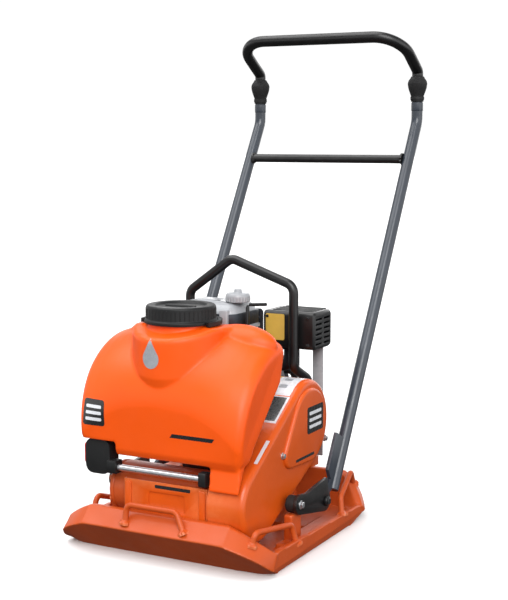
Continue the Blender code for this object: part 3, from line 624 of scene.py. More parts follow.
def bolt(bm, centre, axis, size, washer=True):
    """A hexagon head on a washer; axis points out of the surface and size is across its corners."""
    axis = Vector(axis).normalized()
    side = axis.orthogonal().normalized()
    other = axis.cross(side)

    def ring(radius, height, count):
        return circle(Vector(centre) + axis * height, side, other, radius, count)

    half = size / 2
    base = 0.0
    if washer:
        base = size * 0.10
        loft([ring(half * 1.28, -0.0005, 24), ring(half * 1.28, base * 0.7, 24),
              ring(half * 1.20, base, 24)], bm)
    top = base + size * 0.38
    loft([ring(half, base - 0.0002, 6), ring(half, top - size * 0.06, 6),
          ring(half * 0.86, top, 6)], bm)
    return bm


def on_circle(x, centre, radius, degrees):
    """A point on a circle about an axis along X."""
    angle = math.radians(degrees)
    return (x, centre.y + radius * math.cos(angle), centre.z + radius * math.sin(angle))


def over_middle(node, side=1, z=0):
    """The middle of a node's box seen from above, mirrored where side is -1, at a height."""
    low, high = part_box(node)
    return (side * (low.x + high.x) / 2, (low.y + high.y) / 2, z)


def grip_ribs(bm, centre, radius, low, high, count, thickness, sides, edge):
    """Upright ribs round a cap, for the fingers."""
    for i in range(count):
        angle = 2 * math.pi * i / count
        spot = Vector(centre) + Vector((math.cos(angle), math.sin(angle), 0)) * radius
        rod([spot + Vector((0, 0, low)), spot + Vector((0, 0, high))], thickness, sides, edge, bm)


def film(name, outline, axis, low, high, material, edge=0.0):
    """A thin flat label."""
    piece(name, prism(outline, axis, low, high, edge), material, "machine")


# Base plate and grab rods

def plate_ring(front, rear):
    """A closed ring from the right half's points, listed from the front middle to the side."""
    ahead, behind = Vector(front[-1]), Vector(rear[-1])
    along = [tuple(ahead.lerp(behind, share)) for share in (0.03, 0.08, 0.30, 0.70, 0.92, 0.97)]
    right = front + along + rear[::-1]
    left = [(-x, y, z) for x, y, z in right][::-1]
    return smooth_curve(right + left, 5, True)


def plate_rings():
    """The tray's levels: sole, lower edge, upper edge, inner edge of the rim and deck."""
    low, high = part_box("base_plate")
    half, front, rear = high.x, low.y, high.y
    top = high.z
    lower = plate_ring(
        [(0.060, front, 0.067), (0.155, front, 0.067), (0.175, front + 0.002, 0.063),
         (0.207, front + 0.012, 0.051), (0.236, front + 0.030, 0.034), (half, -0.233, 0.013)],
        [(0.060, rear, 0.065), (0.175, rear, 0.065), (0.192, rear - 0.002, 0.063),
         (0.216, rear - 0.023, 0.060), (0.235, rear - 0.039, 0.042), (half, 0.226, 0.020)])
    sole = plate_ring(
        [(0.060, -0.225, 0), (0.150, -0.225, 0), (0.170, -0.225, 0), (0.195, -0.224, 0),
         (0.220, -0.221, 0), (0.244, -0.205, 0)],
        [(0.060, 0.225, 0), (0.150, 0.225, 0), (0.170, 0.225, 0), (0.195, 0.220, 0),
         (0.222, 0.205, 0), (0.244, 0.160, 0)])
    toe, heel = front + 0.032, rear - 0.032
    upper = plate_ring(
        [(0.060, toe, top), (0.155, toe, top), (0.172, toe + 0.001, top - 0.003),
         (0.199, toe + 0.009, 0.083), (0.230, toe + 0.022, 0.064), (half, -0.217, 0.046)],
        [(0.060, heel, top - 0.002), (0.175, heel, top - 0.002), (0.190, heel - 0.001, top - 0.004),
         (0.208, heel - 0.013, 0.086), (0.229, heel - 0.027, 0.062), (half, 0.206, 0.036)])
    rim = 0.013
    inner = plate_ring(
        [(0.060, toe + rim, top), (0.150, toe + rim, top), (0.165, toe + rim + 0.001, top - 0.003),
         (0.189, toe + 0.021, 0.083), (0.217, toe + 0.033, 0.064), (half - rim, -0.210, 0.046)],
        [(0.060, heel - rim, top - 0.002), (0.168, heel - rim, top - 0.002),
         (0.180, heel - rim - 0.001, top - 0.004), (0.198, heel - 0.025, 0.086),
         (0.217, heel - 0.036, 0.062), (half - rim, 0.200, 0.036)])
    deck = plate_ring(
        [(0.060, -0.216, DECK), (0.145, -0.216, DECK), (0.160, -0.216, DECK),
         (0.180, -0.214, DECK), (0.204, -0.206, DECK), (0.232, -0.192, DECK)],
        [(0.060, 0.212, DECK), (0.150, 0.212, DECK), (0.165, 0.212, DECK), (0.187, 0.209, DECK),
         (0.208, 0.202, DECK), (0.232, 0.188, DECK)])
    return [sole, lower, upper, inner, deck]


def base_plate():
    bm = loft(plate_rings())
    for side in (-1, 1):
        for mount in ("rubber_mount_front_right", "rubber_mount_rear_right"):
            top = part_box(mount)[0].z - 0.0006
            lathe([(0, 0.012), (0.044, 0.012), (0.036, 0.024), (0.029, top), (0, top)], "Z",
                  over_middle(mount, side), 32, bm)
        prism(rectangle(*sorted((side * 0.204, side * 0.2235)), -0.096, -0.050, 0.004), "Z",
              0.012, DAMPER.z - 0.0188, 0.002, bm=bm)
    # The rear half of the deck is thicker and ends in a step across the plate
    prism(rectangle(-0.236, 0.236, 0.024, 0.200, 0.010), "Z", 0.010, DECK + 0.006, 0.003, bm=bm)
    for side in (-1, 1):
        prism(rectangle(*sorted((side * 0.196, side * 0.232)), -0.120, 0.110, 0.006), "Z",
              0.010, DECK + 0.010, 0.003, bm=bm)
    skin = melt(bm, 0.0025, 2)
    piece("plate_casting", skin, "enamel_cast", "machine", ["base_plate"])


def grab_rods():
    """Round bars on the rim: across the toe, at three corners and a short one on the left."""
    paths = {"grab_rod_front": bent([(-0.066, -0.278, 0.067), (-0.064, -0.272, 0.116),
                                     (0.054, -0.272, 0.116), (0.078, -0.278, 0.066)], 0.014)}
    paths["grab_rod_front_right"] = bent([(RIM_X, -0.110, 0.026), (0.236, -0.124, 0.077),
                                          (0.218, -0.245, 0.090), (0.212, -0.249, 0.062)], 0.012)
    paths["grab_rod_front_left"] = bent([(-RIM_X, -0.058, 0.026), (-0.2385, -0.070, 0.056),
                                         (-0.2385, -0.128, 0.075), (-RIM_X, -0.142, 0.030)], 0.012)
    for name, side in (("right", 1), ("left", -1)):
        paths["grab_rod_rear_" + name] = bent(
            [(side * RIM_X, 0.113, 0.026), (side * 0.236, 0.118, 0.073),
             (side * 0.222, 0.205, 0.108), (side * 0.212, 0.243, 0.068)], 0.016)
    radius = 0.0062
    for seed, (name, path) in enumerate(sorted(paths.items())):
        bm = rod(path, radius)
        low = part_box(name)[0].z
        for number, (foot, along) in enumerate(((path[0], path[1] - path[0]),
                                                (path[-1], path[-2] - path[-1]))):
            rise = max(0.004, low + 0.004 - foot.z) if name != "grab_rod_front" else 0.012
            spot = foot + along.normalized() * rise
            weld(bm, spot, along, radius * 2.0, 0.006, seed * 2 + number)
        piece(name + "_bar", bm, "enamel_cast", "machine", [name])


# Exciter, belt and guard

def drive():
    def cover_bolts(bm):
        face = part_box("exciter_cover")[0].x
        for i in range(6):
            bolt(bm, on_circle(face, EXCITER, 0.044, 30 + 60 * i), (-1, 0, 0), 0.011)

    rounded_node("exciter_case", "enamel_cast", 0.0018, 3)
    rounded_node("exciter_cover", "enamel_cast", 0.0012, 2, cover_bolts)
    for node in ("exciter_bearing_left", "exciter_bearing_right"):
        rounded_node(node, "steel", 0.0008)
    for node, material in (("exciter_shaft", "steel"), ("eccentric_weight", "cast_alloy"),
                           ("exciter_pulley", "cast_alloy"), ("clutch_pulley", "cast_alloy"),
                           ("crankshaft", "steel"), ("drive_belt", "rubber")):
        rounded_node(node, material, 0.0006)


def guard_rim(distance):
    """A point (y, z) and outward normal on the guard's rim, from the top of its front straight."""
    along = math.atan2(EXCITER.z - CRANK.z, EXCITER.y - CRANK.y)
    gap = math.hypot(EXCITER.y - CRANK.y, EXCITER.z - CRANK.z)
    angle = along - math.acos((GUARD_BIG - GUARD_SMALL) / gap)
    length = math.sqrt(gap ** 2 - (GUARD_BIG - GUARD_SMALL) ** 2)
    centre, radius, turn = CRANK, GUARD_BIG, min(distance, 0.0) / GUARD_BIG
    if distance > length:
        centre, radius, turn = EXCITER, GUARD_SMALL, (distance - length) / GUARD_SMALL
    normal = Vector((math.cos(angle + turn), math.sin(angle + turn)))
    point = Vector((centre.y, centre.z)) + normal * radius
    if 0.0 < distance <= length:
        point += Vector((-math.sin(angle), math.cos(angle))) * distance
    return point, normal


def belt_guard():
    outline = hull_of_circles((CRANK.y, CRANK.z), GUARD_BIG, (EXCITER.y, EXCITER.z), GUARD_SMALL)
    shell = scratch(prism(outline, "X", GUARD_IN, GUARD_FACE, 0.012, steps=7))
    boss = hull_of_circles((CRANK.y - 0.006, CRANK.z - 0.002), 0.080, (-0.045, 0.200), 0.030)
    combine(shell, prism(boss, "X", GUARD_OUT - 0.020, GUARD_OUT, 0.006, steps=5), "UNION")
    combine(shell, prism(inset(outline, 0.003), "X", GUARD_IN - 0.01, GUARD_FACE - 0.004, 0.010),
            "DIFFERENCE")
    piece("belt_guard_shell", to_bmesh(shell), "enamel_sheet", "machine", ["belt_guard"])
    rounded_node("belt_guard_back", "enamel_sheet", 0.0008)
    bm = bmesh.new()
    for y, z in ((-0.078, 0.204), (CRANK.y + 0.076, CRANK.z - 0.048)):
        bolt(bm, (GUARD_FACE, y, z), (1, 0, 0), 0.0120)
    piece("guard_bolts", bm, "steel", "machine")


def rim_patch(name, low_x, high_x, start, end, material, lift=0.0004, corner=0.0):
    """A thin film wrapped on the guard's rim, between two distances along it."""
    steps = 16
    rings = []
    for i in range(steps + 1):
        point, normal = guard_rim(start + (end - start) * i / steps)
        under, over = (point + normal * layer for layer in (-0.0002, lift))
        trim = corner if i in (0, steps) else 0.0
        left, right = low_x + trim, high_x - trim
        rings.append([(left, *under), (right, *under), (right, *over), (left, *over)])
    piece(name, loft(rings), material, "machine")


def guard_labels():
    """Plain films on the guard: the printed ones' sizes and colours, with nothing written on."""
    edge = GUARD_FACE - 0.012
    rim_patch("rim_label_white", 0.128, edge - 0.003, -0.062, 0.018, "white_film")
    rim_patch("rim_label_yellow_end", 0.1160, 0.1277, -0.062, 0.018, "yellow_film")
    for number, start in enumerate((-0.045, -0.016)):
        rim_patch("rim_label_dot_%d" % (number + 1), 0.142, 0.160, start, start + 0.012,
                  "grey_film", 0.0008, 0.004)
    rim_patch("rim_label_small", 0.181, 0.189, 0.150, 0.215, "white_film")
    rim_patch("rim_label_silver", 0.120, edge - 0.001, 0.021, 0.100, "white_film")
    under, over = GUARD_OUT - 0.0002, GUARD_OUT + 0.0004
    film("guard_film_square", rectangle(0.024, 0.102, 0.228, 0.286, 0.006), "X", under, over,
         "black_film")
    for i in range(3):
        z = 0.239 + i * 0.0145
        film("guard_film_bar_%d" % (i + 1), rectangle(0.034, 0.092, z, z + 0.007, 0.002), "X",
             under + 0.0004, over + 0.0004, "white_film")
    film("guard_film_slim", rectangle(-0.030, 0.058, 0.179, 0.185, 0.002), "X", under, over,
         "black_film")
    rim_patch("rim_label_black", 0.1225, edge - 0.006, 0.0235, 0.094, "black_film", 0.0008)


# Engine bed, mounts and lifting bar

def bed_and_mounts():
    def nuts(bm):
        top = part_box("engine_bed")[1].z
        for side in (-1, 1):
            bolt(bm, over_middle("rubber_mount_rear_right", side, top), (0, 0, 1), 0.018)

    rounded_node("engine_bed", "enamel_sheet", 0.0015, 3, nuts)
    for side in ("left", "right"):
        for end in ("front", "rear"):
            node = "rubber_mount_%s_%s" % (end, side)
            low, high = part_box(node)
            wide, waist = (high.x - low.x) / 2, 0.021
            tall = high.z - low.z
            profile = [(0, low.z), (wide, low.z), (wide, low.z + 0.004)]
            for i in range(9):
                share = i / 8
                squeeze = (wide - 0.002 - waist) * (1 - math.sin(math.pi * share))
                profile.append((waist + squeeze, low.z + 0.005 + (tall - 0.010) * share))
            profile += [(wide, high.z - 0.004), (wide, high.z), (0, high.z)]
            bm = lathe(profile, "Z", over_middle(node), 40)
            piece(node + "_block", bm, "rubber", "machine", [node])


def lifting_bar():
    low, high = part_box("lifting_bar")
    radius = 0.0105
    x = high.x - radius
    rear = high.y - radius
    front = low.y + radius
    right = [(x, rear, low.z), (x, rear, 0.318), (x, front, 0.356), (x, front, 0.536)]
    left = [(-a, b, c) for a, b, c in right[:-1]] + [(-x, front, 0.512)]
    peak = (-0.023, front, 0.590)
    bm = rod(bent(right + [peak] + left[::-1], 0.024, 10), radius)
    for side in (-1, 1):
        disc(0.0148, low.z, low.z + 0.005, 0.001, (side * x, rear, 0), 32, bm)
        weld(bm, (side * x, rear, low.z + 0.005), (0, 0, 1), 0.0145, 0.004, 40 + side)
    piece("lifting_bar_bent", bm, "satin_black", "machine", ["lifting_bar"])


# Engine

def engine():
    def block_bolts(bm):
        low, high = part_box("engine_crankcase")
        for x in (low.x + 0.014, 0.0, high.x - 0.014):
            for z in (low.z + 0.012, 0.262):
                bolt(bm, (x, low.y, z), (0, -1, 0), 0.010)
        for i in range(6):
            bolt(bm, on_circle(high.x, CRANK, 0.060, 60 * i + 15), (1, 0, 0), 0.010)

    rounded_node("engine_crankcase", "dark_alloy", 0.0022, 3, block_bolts)
    rounded_node("engine_cylinder", "cast_alloy", 0.0007)
    rounded_node("cylinder_head_cover", "dark_alloy", 0.0020, 3)
    rounded_node("spark_plug_cap", "rubber", 0.0012)
    rounded_node("carburettor", "cast_alloy", 0.0015)
    rounded_node("throttle_lever", "satin_black", 0.0006)
    rounded_node("choke_lever", "moulded_black", 0.0010)
    rounded_node("fuel_tap_lever", "moulded_black", 0.0010)
    rounded_node("engine_switch", "moulded_red", 0.0012)
    rounded_node("oil_filler_cap", "moulded_black", 0.0010)
    rounded_node("recoil_grip", "moulded_black", 0.0025, 3)
    bm = rod([(0.0756, -0.006, 0.5035), (0.116, -0.002, 0.5060)], 0.0036, 20, 0.0015)
    piece("throttle_knob", bm, "moulded_black", "throttle")


def exhaust():
    """The pipe from the head to the silencer, its stay and the shield beside the fuel tank."""
    bm = rod(bent([(0.052, 0.150, 0.350), (0.096, 0.150, 0.350), (0.096, 0.150, 0.402)], 0.020, 10),
             0.0145)
    disc(0.023, 0.388, 0.394, 0.001, (0.096, 0.150, 0), 32, bm)
    piece("exhaust_pipe", bm, "dark_alloy", "machine")
    bm = prism(rectangle(0.101, 0.129, 0.350, 0.3925, 0.004), "Y", 0.1280, 0.1310, 0.001, True, 2)
    bolt(bm, (0.113, 0.1280, 0.378), (0, -1, 0), 0.010)
    piece("exhaust_stay", bm, "dark_alloy", "machine")
    bm = prism(rectangle(0.026, 0.067, 0.4045, 0.4850, 0.008), "Y", 0.0730, 0.0760, 0.001, True, 2)
    for z in (0.425, 0.445, 0.465):
        rod([(0.033, 0.0728, z), (0.060, 0.0728, z)], 0.0030, 12, 0.001, bm)
    piece("heat_shield", bm, "dark_alloy", "machine")


def recoil_cover():
    low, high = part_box("recoil_cover")
    corners = [(0, low.x), (0.048, low.x), (0.056, low.x + 0.006), (0.060, low.x + 0.016),
               (0.076, low.x + 0.020), (0.084, low.x + 0.028), (0.086, high.x),
               (0.080, high.x), (0.078, high.x - 0.048), (0, high.x - 0.048)]
    centre = (0, CRANK.y, CRANK.z)
    cover = scratch(turned(corners, 0.004, "X", centre, 64))
    slots = bmesh.new()
    count = 14
    for i in range(count):
        angle = 2 * math.pi * i / count
        out = Vector((0, math.cos(angle), math.sin(angle)))
        across = Vector((0, -math.sin(angle), math.cos(angle)))
        rings = []
        for x in (low.x - 0.01, high.x - 0.04):
            rings.append([Vector((x, CRANK.y, CRANK.z)) + out * r + across * w
                          for r, w in ((0.020, -0.0016), (0.043, -0.0028), (0.043, 0.0028),
                                       (0.020, 0.0016))])
        loft(rings, slots)
    combine(cover, slots, "DIFFERENCE")
    bm = to_bmesh(cover)
    for i in range(3):
        bolt(bm, on_circle(low.x + 0.020, CRANK, 0.069, 90 + 120 * i), (-1, 0, 0), 0.009)
    piece("recoil_housing", bm, "tank_paint", "machine", ["recoil_cover"])


def fuel_tank():
    low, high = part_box("fuel_tank")
    outline = rectangle(low.x, high.x, low.y, high.y, 0.030, 10)
    tall = high.z - low.z
    seam = 0.48
    shape = [(0.00, 0.014), (0.03, 0.008), (0.10, 0.0045), (seam - 0.05, 0.004), (seam - 0.03, 0.004),
             (seam - 0.025, 0.0), (seam + 0.025, 0.0), (seam + 0.03, 0.004), (0.70, 0.0055),
             (0.82, 0.009), (0.90, 0.014), (0.96, 0.021), (1.00, 0.032)]
    rings = []
    for share, shrink in shape:
        points = inset(outline, shrink) if shrink else outline
        rings.append([(x, y, low.z + tall * share) for x, y in points])
    bm = loft(rings)
    # A shallow pressed panel in its top
    prism(rectangle(low.x + 0.045, -0.008, low.y + 0.045, high.y - 0.045, 0.012), "Z",
          high.z - 0.004, high.z + 0.002, 0.002, bm=bm)
    piece("fuel_tank_shell", bm, "tank_paint", "machine", ["fuel_tank"])
    # A dark band round its middle that is painted shade rather than a part, and the bright clamp at the
    # front
    band_low, band_high = low.z + tall * 0.53, low.z + tall * 0.80
    bm = prism(inset(outline, 0.0030), "Z", band_low, band_high, 0.001, True, 2)
    piece("fuel_tank_shade_band", bm, "dark_alloy", "machine")
    bm = prism(rectangle(0.034, 0.052, low.y - 0.003, low.y + 0.012, 0.002), "Z",
               band_low - 0.004, high.z - 0.012, 0.001, True, 2)
    piece("fuel_tank_clamp", bm, "tank_paint", "machine")


def fuel_cap():
    low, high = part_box("fuel_cap")
    centre = over_middle("fuel_cap")
    wide = (high.x - low.x) / 2
    bm = turned([(0, low.z), (wide - 0.001, low.z), (wide, low.z + 0.013),
                 (wide - 0.003, low.z + 0.019), (0.009, low.z + 0.020), (0.008, high.z),
                 (0, high.z)], 0.002, "Z", centre, 48)
    grip_ribs(bm, centre, wide - 0.0008, low.z + 0.002, low.z + 0.012, 24, 0.0009, 6, 0.0002)
    piece("fuel_cap_knob", bm, "tank_paint", "fuel_filler", ["fuel_cap"])


def air_cleaner():
    low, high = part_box("air_cleaner")
    outline = rectangle(low.y, high.y, low.z, high.z, 0.018, 8)
    bm = prism(outline, "X", low.x, high.x, 0.008, True, 5)
    for i in range(5):
        z = low.z + 0.020 + i * 0.011
        prism(rectangle(low.y + 0.014, high.y - 0.014, z, z + 0.004, 0.0018, 3), "X",
              low.x - 0.0012, low.x + 0.004, 0.0008, True, 2, bm)
    turned([(0, high.z - 0.002), (0.007, high.z - 0.002), (0.006, high.z + 0.006),
            (0, high.z + 0.006)], 0.001, "Z", over_middle("air_cleaner"), 24, bm)
    piece("air_cleaner_case", bm, "moulded_black", "machine", ["air_cleaner"])


def silencer():
    rounded_node("silencer", "dark_alloy", 0.0030, 3)

    def ribs(bm):
        low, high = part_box("silencer_guard")
        for i in range(5):
            y = low.y + 0.020 + i * 0.016
            prism(rectangle(low.x + 0.012, high.x - 0.012, y, y + 0.005, 0.002, 3), "Z",
                  high.z - 0.003, high.z + 0.0016, 0.0012, bm=bm)
        for x in (low.x + 0.010, high.x - 0.016):
            for z in (high.z - 0.073, high.z - 0.012):
                bolt(bm, (x, low.y, z), (0, -1, 0), 0.007)

    rounded_node("silencer_guard", "satin_black", 0.0012, 2, ribs)
    low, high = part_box("silencer_guard")
    film("silencer_tag",
         rectangle(low.x + 0.006, low.x + 0.052, high.z - 0.064, high.z - 0.006, 0.004), "Y",
         low.y - 0.0016, low.y - 0.0002, "yellow_film", 0.0004)
    # The flat stay between the engine bed and the guard
    bm = prism(rectangle(0.1333, 0.1587, 0.1874, 0.1916, 0.0008, 2), "Z",
               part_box("engine_bed")[1].z + 0.0002, high.z - 0.086, 0.0005, True, 2)
    piece("silencer_stay", bm, "tank_paint", "machine")


# Water tank

def tank_profile(share, steps=24):
    """The tank's outline in (y, z) at a share of its half width; rounder towards the sides."""
    blend = min(1.0, abs(share)) ** 2.5
    sizes = zip(MIDDLE_ARCH, SIDE_ARCH)
    cy, cz, wide, tall = (middle + (side - middle) * blend for middle, side in sizes)
    arch = []
    for i in range(steps + 1):
        angle = math.pi / 2 * i / steps
        arch.append((cy - wide * math.cos(angle), cz + tall * math.sin(angle)))
    top = cz + tall
    back = [(-0.0755, top - 0.006), (-0.0775, 0.418), (-0.092, 0.366), (-0.152, 0.297),
            (-0.200, 0.235), (-0.214, TANK_LOW)]
    front = [(-0.247, TANK_LOW), (-0.253, 0.222)]
    return arch + back + front


def tank_width(z):
    """Half the tank's width at a height; it narrows towards its underside."""
    rise = (z - TANK_LOW) / (TANK_WIDEST - TANK_LOW)
    return TANK_HALF_LOW + (TANK_HALF - TANK_HALF_LOW) * min(1.0, max(0.0, rise)) ** 0.7


def tank_body(stations):
    """Loft the tank's outlines across its width, through (share of half width, scale) pairs."""
    middle_y, middle_z = TANK_CENTRE
    rings = []
    for share, scale in stations:
        outline = [(middle_y + (y - middle_y) * scale, middle_z + (z - middle_z) * scale)
                   for y, z in tank_profile(share)]
        rings.append([(share * tank_width(z), y, z) for y, z in outline])
    return loft(rings)


def tank_stations():
    """Where the outlines stand, closer together on the rounded ends."""
    right_end = []
    for i in range(8):
        angle = math.pi / 2 * i / 7
        share = 1.0 - TANK_EDGE * (1.0 - math.sin(angle)) / TANK_HALF
        right_end.append((share, 1.0 - TANK_EDGE * (1.0 - math.cos(angle)) / TANK_REACH))
    left_end = [(-share, scale) for share, scale in right_end[::-1]]
    return left_end + [(0.1 * i, 1.0) for i in range(-9, 10)] + right_end


def tank_hollow(floor):
    """The space inside, down to a floor above the corner that the cock block fills."""
    end = 1.0 - 2.2 * TANK_WALL / TANK_HALF
    rings = []
    for i in range(-12, 13):
        share = end * i / 12
        outline = inset(tank_profile(share), TANK_WALL + 0.002)
        rings.append([(share * tank_width(z), y, max(z, floor)) for y, z in outline])
    return loft(rings)


def pillar_top(x, y):
    """Height of the pillar's top face, which rises from the front to the neck."""
    return min(NECK.z, 0.458 + 0.31 * (y - NECK.y + PILLAR)) - 0.010 * (abs(x) / 0.128) ** 3


def pillar(bm):
    """Round in front, flaring towards the rear, with the filler neck in its top."""
    outline = arc((NECK.x, NECK.y), PILLAR, 180, 360, 48)
    outline += [(0.110, -0.120), (0.122, -0.092), (-0.122, -0.092), (-0.110, -0.120)]
    rings = [[(x, y, 0.300) for x, y in inset(outline, 0.020)]]
    for shrink, drop in ((0.0, 0.080), (0.0, 0.006), (0.002, 0.002), (0.006, 0.0)):
        points = inset(outline, shrink) if shrink else outline
        rings.append([(x, y, pillar_top(x, y) - drop) for x, y in points])
    middle = rings[-1]
    for share in (0.6, 0.2):
        rings.append([(x * share, NECK.y + (y - NECK.y) * share,
                       z + (NECK.z - z) * (1 - share)) for x, y, z in middle])
    loft(rings, bm)


def water_tank():
    body = scratch(tank_body(tank_stations()))
    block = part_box("water_cock_block")
    notch_x, notch_z = block[1].x + 0.0003, block[1].z + 0.0003
    combine(body, prism(rectangle(-0.230, notch_x, 0.150, notch_z, 0.002), "Y", -0.300, -0.150),
            "DIFFERENCE")
    bm = to_bmesh(body)
    foot = [(-0.250, 0.1602), (-0.2462, 0.1602), (-0.206, 0.240), (-0.240, 0.240)]
    prism(foot, "X", 0.116, 0.183, bm=bm)
    pillar(bm)
    neck = (NECK.x, NECK.y, 0)
    disc(NECK_RADIUS, 0.44, NECK_TOP, 0.0, neck, 64, bm)
    # Low swellings behind the neck, the right one larger
    for centre, size in (((-0.100, -0.112, 0.432), (0.060, 0.036, 0.040)),
                         ((0.113, -0.113, 0.438), (0.084, 0.037, 0.040))):
        hump = bmesh.ops.create_uvsphere(bm, u_segments=32, v_segments=18, radius=1.0)
        matrix = Matrix.Translation(centre) @ Matrix.Diagonal((*size, 1))
        bmesh.ops.transform(bm, matrix=matrix, verts=hump["verts"])
    skin = melt(bm, 0.0027, 6)
    tank = piece("water_tank_shell", skin, "moulded_orange", "machine", ["water_tank"])
    combine(tank, tank_hollow(notch_z + TANK_WALL), "DIFFERENCE")
    combine(tank, disc(NECK_BORE, 0.37, 0.52, 0.0, neck, 64), "DIFFERENCE")
    finish_mesh(tank.data, "moulded_orange")
    return tank


def tank_cap():
    low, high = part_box("tank_cap")
    flange = (high.x - low.x) / 2
    radius = flange - 0.003
    centre = (NECK.x, NECK.y, 0)
    inside, roof = NECK_RADIUS + 0.002, NECK_TOP + 0.002
    corners = [(0, roof), (inside, roof), (inside, low.z), (flange, low.z),
               (flange, low.z + 0.007), (radius, low.z + 0.009), (radius, high.z - 0.003),
               (radius - 0.003, high.z), (0.055, high.z), (0.050, high.z - 0.005),
               (0, high.z - 0.005)]
    bm = turned(corners, 0.0018, "Z", centre, 96)
    grip_ribs(bm, centre, radius - 0.0006, low.z + 0.011, high.z - 0.006, 48, 0.0014, 8, 0.0008)
    rod([(-0.036, NECK.y, high.z - 0.0055), (0.036, NECK.y, high.z - 0.0055)], 0.0045, 16, 0.001, bm)
    piece("tank_cap_cover", bm, "moulded_black", "water_filler", ["tank_cap"])


def cap_strap():
    """The tether's strap, a flat ring round the back of the neck."""
    low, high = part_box("tank_cap")
    rings = []
    outer, inner = 0.0850, (high.x - low.x) / 2 + 0.0015
    for i in range(33):
        angle = math.radians(-18 + 216 * i / 32)
        c, s = math.cos(angle), math.sin(angle)
        rings.append([(NECK.x + r * c, NECK.y + r * s, z) for r, z in
                      ((inner, 0.4790), (outer, 0.4790), (outer, 0.4875), (inner, 0.4875))])
    piece("tank_cap_strap", loft(rings), "moulded_black", "machine")


def on_surface(obj, outline, name, material, lift=0.0005):
    """A thin film laid on the front of obj; outline is in (x, z)."""
    tree = BVHTree.FromObject(obj, bpy.context.evaluated_depsgraph_get())
    bm = bmesh.new()
    bm.faces.new([bm.verts.new((x, 0.0, z)) for x, z in outline])
    low_x, high_x = min(p[0] for p in outline), max(p[0] for p in outline)
    low_z, high_z = min(p[1] for p in outline), max(p[1] for p in outline)
    cell = 0.006
    for axis, low, high in ((0, low_x, high_x), (2, low_z, high_z)):
        normal = Vector((1, 0, 0)) if axis == 0 else Vector((0, 0, 1))
        for i in range(1, int((high - low) / cell) + 1):
            everything = bm.verts[:] + bm.edges[:] + bm.faces[:]
            bmesh.ops.bisect_plane(bm, geom=everything, plane_co=normal * (low + i * cell),
                                   plane_no=normal)
    for vert in bm.verts:
        hit, normal, _, _ = tree.ray_cast(Vector((vert.co.x, -1.0, vert.co.z)), Vector((0, 1, 0)))
        vert.co = hit + normal * lift
    thick = bmesh.ops.extrude_face_region(bm, geom=bm.faces[:])
    back = [item for item in thick["geom"] if isinstance(item, bmesh.types.BMVert)]
    bmesh.ops.translate(bm, vec=(0, 0.0004, 0), verts=back)
    piece(name, bm, material, "machine")


def tank_films(tank):
    """Plain shapes where the real tank is printed: a drop, a square and a slim bar."""
    drop_x, drop_z, size = -0.012, 0.424, 0.020
    drop = arc((drop_x, drop_z - 0.006), size, 160, 380, 20)
    drop += [(drop_x + size * 0.42, drop_z + size * 0.95), (drop_x, drop_z + size * 1.75),
             (drop_x - size * 0.42, drop_z + size * 0.95)]
    on_surface(tank, drop, "tank_film_drop", "grey_film")
    on_surface(tank, rectangle(-0.180, -0.126, 0.268, 0.322, 0.006), "tank_film_square",
               "black_film")
    for i in range(3):
        z = 0.278 + i * 0.013
        bar = rectangle(-0.173, -0.133, z, z + 0.0065, 0.002)
        on_surface(tank, bar, "tank_film_bar_%d" % (i + 1), "white_film", 0.0010)
    slant = [(0.030, 0.262), (0.128, 0.262), (0.134, 0.270), (0.036, 0.270)]
    on_surface(tank, slant, "tank_film_slim", "black_film")


# Sprinkler and front panel

def sprinkler():
    rounded_node("water_cock_block", "moulded_black", 0.0030, 4)
    rounded_node("sprinkler_clip", "moulded_black", 0.0015)
    rounded_node("water_cock_lever", "moulded_red", 0.0012)
    low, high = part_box("sprinkler_tube")
    y, z = (low.y + high.y) / 2, (low.z + high.z) / 2
    bm = rod([(low.x, y, z), (high.x, y, z)], (high.z - low.z) / 2, 36, 0.0006)
    piece("sprinkler_pipe", bm, "steel", "machine", ["sprinkler_tube"])


def front_panel():
    low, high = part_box("front_panel")

    def ribs(bm):
        for x0, x1 in ((low.x + 0.003, low.x + 0.018), (high.x - 0.018, high.x - 0.003)):
            prism(rectangle(x0, x1, low.z + 0.001, high.z - 0.004, 0.004), "Y", low.y - 0.004,
                  low.y + 0.001, 0.002, True, 3, bm)

    rounded_node("front_panel", "enamel_sheet", 0.0012, 2, ribs)
    film("panel_film_slim", rectangle(-0.020, 0.064, 0.1465, 0.1535, 0.002), "Y",
         low.y - 0.0004, low.y + 0.0002, "black_film")


# Handle

def handle_joint_pieces():
    for side in ("left", "right"):
        rounded_node("handle_damper_" + side, "rubber", 0.0020, 3)
        rounded_node("handle_bracket_" + side, "satin_black", 0.0014, 3)
        sign = 1 if side == "right" else -1

        def head(bm):
            low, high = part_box("pivot_bolt_" + side)
            outer = high.x if sign > 0 else low.x
            bolt(bm, (outer - sign * 0.0035, PIVOT.y, PIVOT.z), (sign, 0, 0), 0.0165, False)

        rounded_node("pivot_bolt_" + side, "satin_black", 0.0008, 2, head)
        bm = bmesh.new()
        bolt(bm, (sign * 0.2320, DAMPER.y, DAMPER.z), (sign, 0, 0), 0.0140)
        piece("handle_damper_bolt_" + side, bm, "steel", "machine")


